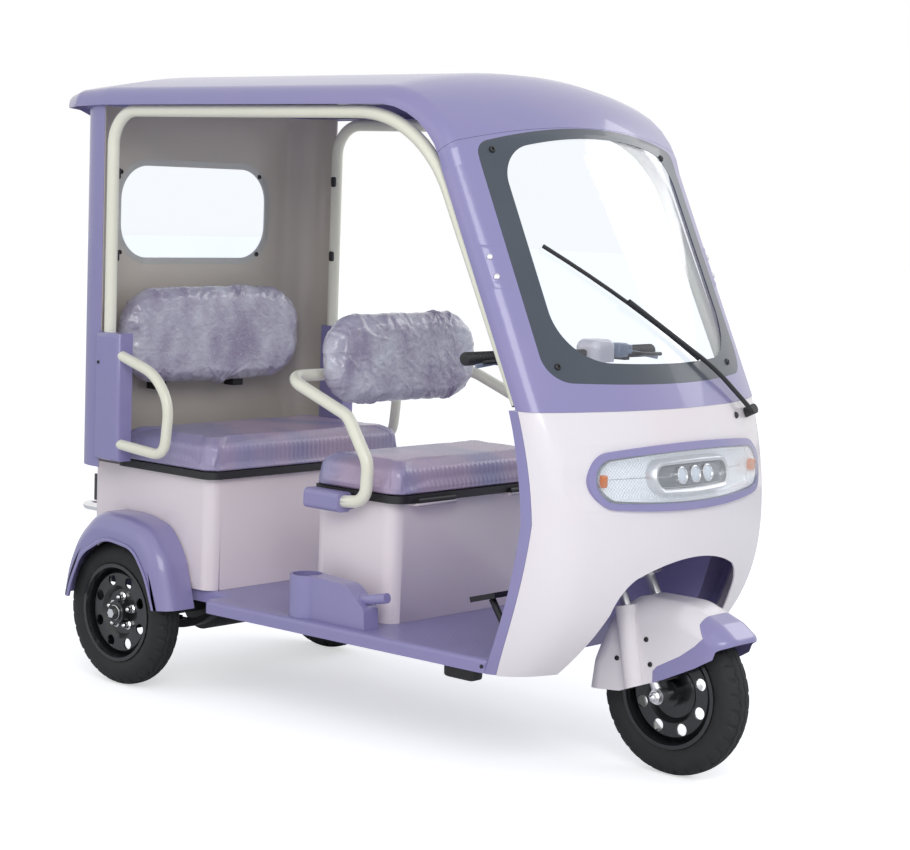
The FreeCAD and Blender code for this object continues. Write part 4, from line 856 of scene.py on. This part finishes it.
d1, s1, y1 = guard_layer(0.0)
d2, s2, y2 = guard_layer(SHEET)
roll = np.linspace(0.15, 1.0, 7) * np.pi * 1.35
d_roll, y_roll = ROLL_R * np.sin(roll), FACE_Y + ROLL_R * (1 - np.cos(roll)) * 0.6 - 1.0
depth = np.concatenate([d1, d_roll, d2[::-1]])
share = np.concatenate([s1, np.ones(7), s2[::-1]])
y_line = np.concatenate([y1, y_roll, y2[::-1]])
travel = depth[None, :] + share[None, :] * reach[:, None]
travel = np.minimum(travel, reach[:, None] + 6.0)
flat_points = crown[:, None, :] + inward[:, None, :] * travel[..., None]
guard = np.stack([flat_points[..., 0], -np.broadcast_to(y_line, travel.shape),
                  flat_points[..., 1]], -1)
ends = (guard[[0, -1]] + guard[[0, -1], ::-1]) / 2
guard = placed(np.concatenate([ends[:1], guard, ends[1:]]))
piece("rear_mudguard_pressings", both_sides([patch(guard, close_columns=True)]), "lilac",
      hides=["rear_mudguards"], sharp=40.0)

ARM_LINE = [(16, 920), (158, 880), (218, 806), (202, 662), (16, 676)]
arm = even(bends(ARM_LINE, 46), ARM_STEPS)
arm = placed(np.stack([arm[:, 0], np.full(ARM_STEPS, ARM_Y), arm[:, 1]], -1))
piece("armrest_tubes", both_sides([tube(arm, 0.0145, 18, wide_axis=(0, 1, 0))]), "cream_paint",
      hides=["armrests"])

# %% [markdown]
# ## Cushions and backrests
# A seat cushion is foam under a tight cover: the top is crowned, the corners stay low and
# the sides bow out between them. That form comes from pressure, so it is simulated: the
# block is remeshed evenly, blown up a little as cloth, and each point is held within a few
# millimetres of where it began. The creases of the wrapping film are added afterwards as
# sharp ridges along straight lines, because film folds straight and never smoothly.

# %% Swelling by cloth pressure
FARTHEST = 0.010    # metres that a point may move under pressure


def swell(node, name, body, slot, voxel, smaller, pinned_below=None):
    """Copies a soft block, shrinks it, remeshes it and lets pressure round it, within a limit."""
    low, high = box_of(node)
    made = merged(node, name)
    spots = vertices_of(made)
    middle = (low + high) / 2
    base = low[2] if pinned_below is not None else None
    shrink = 1 - smaller / (high - low) * 2
    spots = middle + (spots - middle) * shrink
    if base is not None:
        spots[:, 2] += low[2] - spots[:, 2].min()
    set_vertices(made, spots)
    even = made.modifiers.new("even", "REMESH")
    even.mode, even.voxel_size = "VOXEL", voxel
    bake(made)
    start = vertices_of(made)
    cloth = made.modifiers.new("pressure", "CLOTH")
    cloth.settings.use_pressure, cloth.settings.uniform_pressure_force = True, 4.0
    cloth.settings.effector_weights.gravity = 0.0
    cloth.settings.quality, cloth.collision_settings.use_collision = 4, False
    if base is not None:
        held = made.vertex_groups.new(name="held")
        held.add(np.flatnonzero(start[:, 2] < low[2] + pinned_below).tolist(), 1.0, "REPLACE")
        cloth.settings.vertex_group_mass = "held"
    cloth.point_cache.frame_start, cloth.point_cache.frame_end = 1, 20
    for step in range(1, 21):
        bpy.context.scene.frame_set(step)
    grown = finished(made)
    moved = np.empty(len(grown.vertices) * 3)
    grown.vertices.foreach_get("co", moved)
    moved = moved.reshape(-1, 3) - start
    length = np.linalg.norm(moved, axis=1)[:, None]
    moved = moved * np.minimum(1.0, FARTHEST / np.maximum(length, 1e-9))
    made.modifiers.clear()
    made.vertex_groups.clear()
    set_vertices(made, start + moved)
    bpy.context.scene.frame_set(1)
    finer = made.modifiers.new("finer", "SUBSURF")
    finer.levels = finer.render_levels = 1
    bake(made)
    made.data.polygons.foreach_set("use_smooth", np.ones(len(made.data.polygons), bool))
    dress(made.data, FINISH[slot])
    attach(made, body)
    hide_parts(node)
    return made


def finished(made):
    """The mesh as its live modifiers leave it."""
    graph = bpy.context.evaluated_depsgraph_get()
    return bpy.data.meshes.new_from_object(made.evaluated_get(graph))


def box_of(node):
    """Lowest and highest corner of a model piece, as arrays."""
    return [np.array(corner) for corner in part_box(node)]


def bake(made):
    """Applies the live modifiers by swapping in the finished mesh."""
    done = finished(made)
    made.modifiers.clear()
    made.data = done


def normals_of(made):
    out = np.empty(len(made.data.vertices) * 3)
    made.data.vertex_normals.foreach_get("vector", out)
    return out.reshape(-1, 3)


def kept_inside(spots, node, clear=0.0005):
    """Points outside the space of the solid that they replace are drawn back to its box."""
    low, high = box_of(node)
    return np.clip(spots, low + clear, high - clear)


# %% Seat cushions
SEAM_UP, SEAM_WIDE, SEAM_DEEP = 0.012, 0.0022, 0.0028    # height over the base, groove (m)
GATHER, DISH = 0.0006, 0.004                             # heights of the puckers and the crown


def cushion(node, name, body, drop):
    """Swollen block with a sunk seam round its side and a shallow dish where people sit."""
    made = swell(node, name, body, "vinyl", 0.0075, np.array([0.006, 0.006, 0.005]), 0.006)
    spots, out = vertices_of(made), normals_of(made)
    low, high = box_of(node)
    side = np.clip(1 - np.abs(out[:, 2]) * 1.6, 0, 1)
    seam = SEAM_DEEP * np.exp(-((spots[:, 2] - low[2] - SEAM_UP) / SEAM_WIDE) ** 2)
    u = (spots[:, 0] - low[0]) / (high[0] - low[0])
    v = (spots[:, 1] - low[1]) / (high[1] - low[1])
    gathers = GATHER * np.sin(spots[:, 0] * 410) * np.sin(spots[:, 1] * 370 + 1.0)
    top = np.clip(out[:, 2], 0, 1) ** 2
    dish = DISH * np.clip(np.sin(np.pi * u), 0, 1) * np.clip(np.sin(np.pi * v), 0, 1) ** 0.5
    spots = spots + out * (gathers - seam * side)[:, None]
    spots[:, 2] += dish * top
    spots[:, 2] = low[2] + (spots[:, 2] - low[2]) * (high[2] - drop - low[2]) / (high[2] - low[2])
    set_vertices(made, kept_inside(spots, node))


cushion("rear_seat_cushion", "rear_cushion_cover", "rear_seat_lid", drop=0.0)
cushion("front_seat_cushion", "front_cushion_cover", "front_seat_lid", drop=0.009)
print("cushions done")

# %% Backrests in crumpled film
def ridges(across, along, lines):
    """Film folds: a sharp crest for each line of (place, direction, width, height, length)."""
    height = np.zeros_like(across)
    for (y0, z0), angle, width, tall, reach in lines:
        dy, dz = across - y0, along - z0
        away = dy * np.sin(angle) - dz * np.cos(angle)
        run = dy * np.cos(angle) + dz * np.sin(angle)
        bend = 0.010 * np.sin(run * 19 + y0 * 40)
        height += tall * np.exp(-np.abs(away + bend * 0.4) / width) * np.exp(-(run / reach) ** 2)
    return height


def backrest(node, name, foci, folds, width=1.0, lower=0.0):
    """Oval pad: corners drawn in towards an ellipse, then film folds raised on it."""
    made = swell(node, name, "body", "film_pad", 0.0065, np.array([0.007, 0.007, 0.007]))
    low, high = box_of(node)
    middle, half_size = (low + high) / 2, (high - low) / 2
    spots = vertices_of(made)
    v, w = (spots[:, 1] - middle[1]) / half_size[1], (spots[:, 2] - middle[2]) / half_size[2]
    spots[:, 2] -= half_size[2] * w * 0.13 * np.abs(v) ** 2.6
    spots[:, 1] = spots[:, 1] * width - half_size[1] * v * 0.05 * np.abs(w) ** 2
    spots[:, 2] -= lower
    set_vertices(made, spots)
    out = normals_of(made)
    draw, lines = random.uniform, []
    for y, z, spread, count in foci:
        steps = np.arange(count) + draw(-0.3, 0.3, count)
        for angle in spread[0] + (spread[1] - spread[0]) * steps / count:
            start = np.array([y, z]) + draw(-0.02, 0.02, 2)
            lines.append((start, angle, draw(0.0016, 0.0035), draw(0.0014, 0.0040),
                          draw(0.10, 0.26)))
    places = draw(-1, 1, (folds, 2)) * half_size[1:] * 0.9
    for place, angle, reach in zip(places, draw(0, np.pi, folds), draw(0.02, 0.07, folds)):
        lines.append((place, angle, draw(0.0012, 0.0026), draw(0.0008, 0.0026), reach))
    height = ridges(spots[:, 1] - middle[1], spots[:, 2] - middle[2], lines)
    across, along = spots[:, 1], spots[:, 2]
    height += (0.0012 * np.sin(across * 97 + 3 * np.sin(along * 61))
               * np.sin(along * 83 + 2 * np.sin(across * 47)))
    set_vertices(made, kept_inside(spots + out * (height - 0.0035)[:, None], node))


# each focus of folds: y, z from the pad's middle (m), range of directions (radians), count
REAR_FOCI = [(0.02, -0.15, (0.5, 2.6), 16), (-0.22, -0.05, (0.2, 1.9), 8),
             (0.10, 0.12, (-2.6, -0.6), 9)]
FRONT_FOCI = [(-0.12, -0.13, (0.5, 2.2), 9), (0.14, 0.10, (-2.6, -1.0), 9),
              (0.16, -0.10, (0.9, 2.4), 7)]
backrest("rear_backrest", "rear_backrest_wrap", REAR_FOCI, 90)
backrest("front_backrest", "front_backrest_wrap", FRONT_FOCI, 80, 0.97, 0.006)
print("backrests done")

# %% [markdown]
# ## Small fasteners and fittings
# Screws, caps and blocks are what makes a picture look built rather than drawn. A screw
# head is a short profile spun round the direction in which the panel faces, and that
# direction is asked of the panel itself with a ray, so each one sits flat where it is.

# %% Screws, blocks and laid patches
def screw(spot, out, radius=0.0075, tall=0.005, steps=20):
    """Domed head with a sunk middle, turned round the panel's own direction."""
    profile = [(0, 0.3), (0.42, 0.3), (0.46, 0.95), (0.85, 0.72), (1, 0.2), (1, -0.4), (0, -0.4)]
    return spun([(r * radius, h * tall) for r, h in profile], spot, out, steps)


def acorn(spot, out, radius, tall):
    """Six-sided nut with a washer below and a round cap above."""
    hexagon = [(0, 0), (radius, 0), (radius, tall * 0.5), (radius * 0.8, tall * 0.56),
               (0, tall * 0.56)]
    dome = [(radius * 0.74 * math.cos(t), tall * (0.5 + 0.5 * math.sin(t)))
            for t in np.linspace(0, np.pi / 2, 7)]
    washer = [(0, -0.0015), (radius * 1.25, -0.0015), (radius * 1.25, 0.0012), (0, 0.0012)]
    return [spun(hexagon, spot, out, 6), spun([(0, tall * 0.5)] + dome, spot, out, 20),
            spun(washer, spot, out, 20)]


def block(centre, half, power=0.35, steps=24):
    """Rounded box: a sphere whose sines and cosines are raised to a small power."""
    def soft(v):
        return np.sign(v) * np.abs(v) ** power
    tilt = np.linspace(-np.pi / 2, np.pi / 2, steps // 2 + 1)[:, None]
    turn = np.linspace(0, 2 * np.pi, steps, endpoint=False)[None, :]
    wide = soft(np.cos(tilt))
    local = np.stack([wide * soft(np.cos(turn)), wide * soft(np.sin(turn)),
                      soft(np.sin(tilt)) + 0 * turn], -1) * np.asarray(half)
    local[[0, -1], :, :2] = 0
    return patch(local + np.asarray(centre, float), close_columns=True)


border_screws = [screw(*touch("windscreen_border", at(FAR_AHEAD, y, z), BACK), 0.0085, 0.006)
                 for y, z in [(-350, 1500), (297, 1502), (-356, 1002), (289, 995)]]
window_screws = [screw(*touch("back_wall", at(200, y, z), BACK), 0.007, 0.005)
                 for y, z in [(252, 1420), (248, 1189), (-281, 1193), (-281, 1420)]]
piece("dark_screws", border_screws + window_screws, "black_plastic")

# %% Recessed plate with two bright screws on each front post
PLATE_X, PLATE_Z = 1333.0, 1227.0


def on_post(along, across=0.0):
    """Start of a ray at the plate: the post leans back by 25 mm in each 50 mm of height."""
    return at(PLATE_X - 25 * along + 14 * across, FAR_RIGHT, PLATE_Z + 50 * along)


u, v = np.meshgrid(np.linspace(-1, 1, 15), np.linspace(-1, 1, 9), indexing="ij")
edge = np.maximum(np.abs(u) ** 4, np.abs(v) ** 4)
post = tree_of("windscreen_surround")
found = [post.ray_cast(on_post(b, a), Vector(LEFTWARD)) for b, a in zip(u.ravel(), v.ravel())]
laid = np.array([f[0] for f in found]).reshape(15, 9, 3)
facing = np.array([f[1] * (-1 if f[1].y > 0 else 1) for f in found]).reshape(15, 9, 3)
rise = np.where(edge > 0.98, 0.0002, np.where(edge > 0.5, 0.0022, 0.0009))
plate = patch(laid + facing * rise[..., None])
piece("post_plates", both_sides([plate]), "lilac", sharp=25.0)
post_screws = [screw(*touch("windscreen_surround", on_post(b), LEFTWARD), 0.0080, 0.005)
               for b in (-0.45, 0.45)]
piece("post_screws", both_sides(post_screws), "chrome")

# %% Hinges on the rear posts, panel screws, underfloor brackets
HINGE_X, HINGES_Z, RIGHTWARD = -48, (1414, 1190), (0, -1, 0)
hinges = [block(at(HINGE_X, 417, z), (0.008, 0.005, 0.015)) for z in HINGES_Z]
hinges += [screw(at(HINGE_X, 411, z + dz), RIGHTWARD, 0.003, 0.003, 12)
           for z in HINGES_Z for dz in (-8, 8)]
piece("post_hinges", both_sides(hinges), "black_plastic")
small = [screw(at(-62, -462.2, 897), RIGHTWARD, 0.005, 0.003, 14),
         screw(*touch("floor_pan", at(1335, FAR_RIGHT, 280), LEFTWARD), 0.005, 0.003, 14)]
piece("panel_screws", both_sides(small), "black_plastic")
under = [block(at(1196, -330, 240), (0.050, 0.020, 0.026), power=0.25),
         block(at(120, -300, 262), (0.016, 0.014, 0.030), power=0.25),
         block(at(400, -300, 266), (0.020, 0.014, 0.018), power=0.25)]
piece("floor_brackets", both_sides(under), "black_frame")

# %% [markdown]
# ## Wheel nuts and mudguard screws
# Each rear rim is held by five cap nuts round one large nut on the axle. The front axle has
# a cap nut at each end, and three screws hold each side of the front mudguard.

# %% Nuts that turn with their wheels, and fasteners of the steering
AXLE_UP, NUT_CIRCLE, NUTS = 204, 42, 5       # mm, mm, count
CAP_Y, COLLAR_Y, LARGE_Y = 410, 436, 444     # mm from the middle, on each side
COLLAR = [(0, 0), (0.021, 0), (0.021, 0.004), (0.017, 0.006), (0.017, 0.010), (0, 0.010)]
LARGE_NUT = [(0, 0), (0.0135, 0), (0.0135, 0.009), (0, 0.009)]
for side, body in ((-1, "rear_wheel_right"), (1, "rear_wheel_left")):
    nuts, out = [], (0, side, 0)
    for a in 2 * np.pi * np.arange(NUTS) / NUTS:
        x, z = NUT_CIRCLE * math.sin(a), AXLE_UP + NUT_CIRCLE * math.cos(a)
        nuts += acorn(at(x, side * CAP_Y, z), out, 0.0105, 0.022)
    nuts += [spun(COLLAR, at(0, side * COLLAR_Y, AXLE_UP), out, 28),
             spun(LARGE_NUT, at(0, side * LARGE_Y, AXLE_UP), out, 6)]
    piece(body + "_nuts", nuts, "chrome", body)
fork_nut = acorn(at(1600, -88, AXLE_UP), RIGHTWARD, 0.0125, 0.016)
piece("front_axle_nuts", both_sides(fork_nut), "chrome", "steering")
guard_screws = [screw(at(x, -83.0, z), RIGHTWARD, 0.0065, 0.005)
                for x, z in [(1564, 339), (1478, 279), (1579, 280)]]
piece("guard_screws", both_sides(guard_screws), "black_plastic", "steering")

# %% [markdown]
# ## Headlamp inside
# Behind one wide clear lens sit a faceted reflector, a chrome-framed housing with three
# projectors, and an orange marker at each end. Everything follows the crowned nose, so one
# formula places a point at a depth behind the lens.

# %% Reflector, housing, projectors, markers
def lamp_reflector():
    """Bright plastic with a regular field of small domes, as a moulded reflector has, and a faint
    glow painted in to brighten it, though the lamp is not lit.
    """
    f = Finish("dotted_reflector_painted_glow")
    where = f.place()
    _, y, z = f.split(where)
    pitch = 2 * math.pi / 0.0095
    dots = (y * pitch).sine() * (z * pitch).sine()
    drift = f.noise(where, 8.0, 2.0)
    base = f.blend((dots * 0.5 + 0.5).clamp(), shade(206, 212, 220), shade(252, 252, 253))
    return f.surface(Base_Color=base, Roughness=0.14 + 0.1 * drift, Coat_Weight=0.8,
                     Coat_Roughness=0.05, Normal=f.bump(dots, 0.0016),
                     # painted light: a faint glow on the unlit reflector lifts it out of the shade
                     # of its recess
                     Emission_Color=shade(236, 240, 246), Emission_Strength=0.22)


def behind_lens(y, z, depth):
    """Place behind the lens: x = 1641 - hollow(y) - 0.2 (z - 742) - depth."""
    x = 1641.0 - hollow(y) - NOSE_LEAN * (z - LAMP_MIDDLE_Z) - depth
    return placed(np.stack([x, y, z], -1))


def lamp_place(y, depth):
    """One such place at the lamp's middle height."""
    return behind_lens(np.array(y), np.array(LAMP_MIDDLE_Z), depth)


def lamp_rings(rows):
    """Rings of (half length, radius, depth) joined into one surface, closed in its middle."""
    rings = []
    for half_long, radius, depth in rows + [(rows[-1][0], 1.0, rows[-1][2])]:
        y, z = stadium(half_long, radius, 0.0)
        rings.append(behind_lens(y, LAMP_MIDDLE_Z + z * taper(y), depth))
    return patch(np.stack(rings), close_columns=True)


reflector = lamp_rings([(318, 58, 10), (312, 56, 22), (300, 50, 33), (270, 42, 36)])
piece("lamp_reflector", [reflector], "lamp_housing", finish=lamp_reflector(), sharp=60.0)
frame_ring = lamp_rings([(156, 44, 36), (154, 42, 14), (148, 37, 10), (140, 30, 13), (138, 28, 26)])
piece("lamp_centre_frame", [frame_ring], "silver", sharp=50.0)
piece("lamp_centre_panel", [lamp_rings([(137, 27, 25.5), (130, 24, 24)])], "lamp_housing",
      finish=glossy("smoked_panel", shade(120, 124, 132), shade(96, 100, 108), 0.14, 0.8))
LOOK, SEATED = (1, 0, 0.2), 0.009            # the projectors' direction, and their lens seat (m)
BARREL = [(0, 0), (0.021, 0), (0.021, 0.011), (0.0185, 0.0125), (0.0165, SEATED), (0, SEATED)]
EYE_DOME = [(0.0163 * math.cos(t), SEATED + 0.005 * math.sin(t))
            for t in np.linspace(0, np.pi / 2, 8)]
places = [lamp_place(y, 24.0) for y in (-52.0, 0.0, 52.0)]
piece("projector_barrels", [spun(BARREL, spot, LOOK, 32) for spot in places], "chrome")
piece("projector_eyes", [spun(EYE_DOME, spot, LOOK, 28) for spot in places], "lamp_housing",
      finish=glossy("projector_eye", shade(232, 238, 246), shade(206, 214, 228), 0.06, 1.0))
amber = [block(lamp_place(y, 16.0), (0.008, 0.010, 0.015)) for y in (-303.0, 303.0)]
piece("amber_markers", amber, "lamp_housing",
      finish=glossy("amber_lens", shade(226, 120, 24), shade(206, 96, 14), 0.12, 0.8))

# %% [markdown]
# ## Handlebar fittings and washer nozzle
# The grips are ribbed rubber sleeves. Beside the instrument dome sit the switch blocks and
# a hand lever on each side. A small nozzle for the windscreen's washer stands on the nose.

# %% Grips, switches, levers, washer nozzle
steps = np.linspace(0, 1, 121)
GRIP_R, GRIP_LONG, RIB_TALL, RIBS = 0.0155, 0.122, 0.0012, 20
ribs = RIB_TALL * (np.sin(steps * 2 * np.pi * RIBS) > 0)
sleeve = GRIP_R + ribs + 0.003 * np.exp(-((steps - 0.015) / 0.02) ** 2)
profile = [(0, 0)] + list(zip(sleeve, GRIP_LONG * steps)) + [(0.012, 0.1235), (0, 0.1235)]
grips = [spun(profile, at(1200, -250, 1000), RIGHTWARD, 24)]
piece("ribbed_grips", both_sides(grips), "black_plastic", "steering", hides=["handlebar_grips"])
pale_blue = glossy("switch_plastic", shade(150, 160, 180), shade(128, 140, 162), 0.35, 0.3)
switches = [block(at(1214, 214, 1006), (0.020, 0.022, 0.019)),
            block(at(1200, -216, 1004), (0.018, 0.018, 0.018)),
            block(at(1222, 240, 1010), (0.010, 0.012, 0.010))]
piece("bar_switches", switches, "black_plastic", "steering", pale_blue)
LEVER = [(1226, 220, 1004), (1240, 262, 998), (1238, 320, 990), (1228, 362, 984)]
lever = smooth_line([at(*spot) for spot in LEVER], 24)
piece("hand_levers", both_sides([tube(lever, 0.0055, 12, 0.7)]), "black_plastic", "steering",
      pale_blue)

spot, out = touch("front_shell", at(FAR_AHEAD, 244, 868), BACK)
NOZZLE = [(0, 0.006), (0.005, 0.006), (0.008, 0.003), (0.009, 0), (0.009, -0.002), (0, -0.002)]
piece("washer_nozzle", [spun(NOZZLE, spot, out, 20)], "black_plastic")
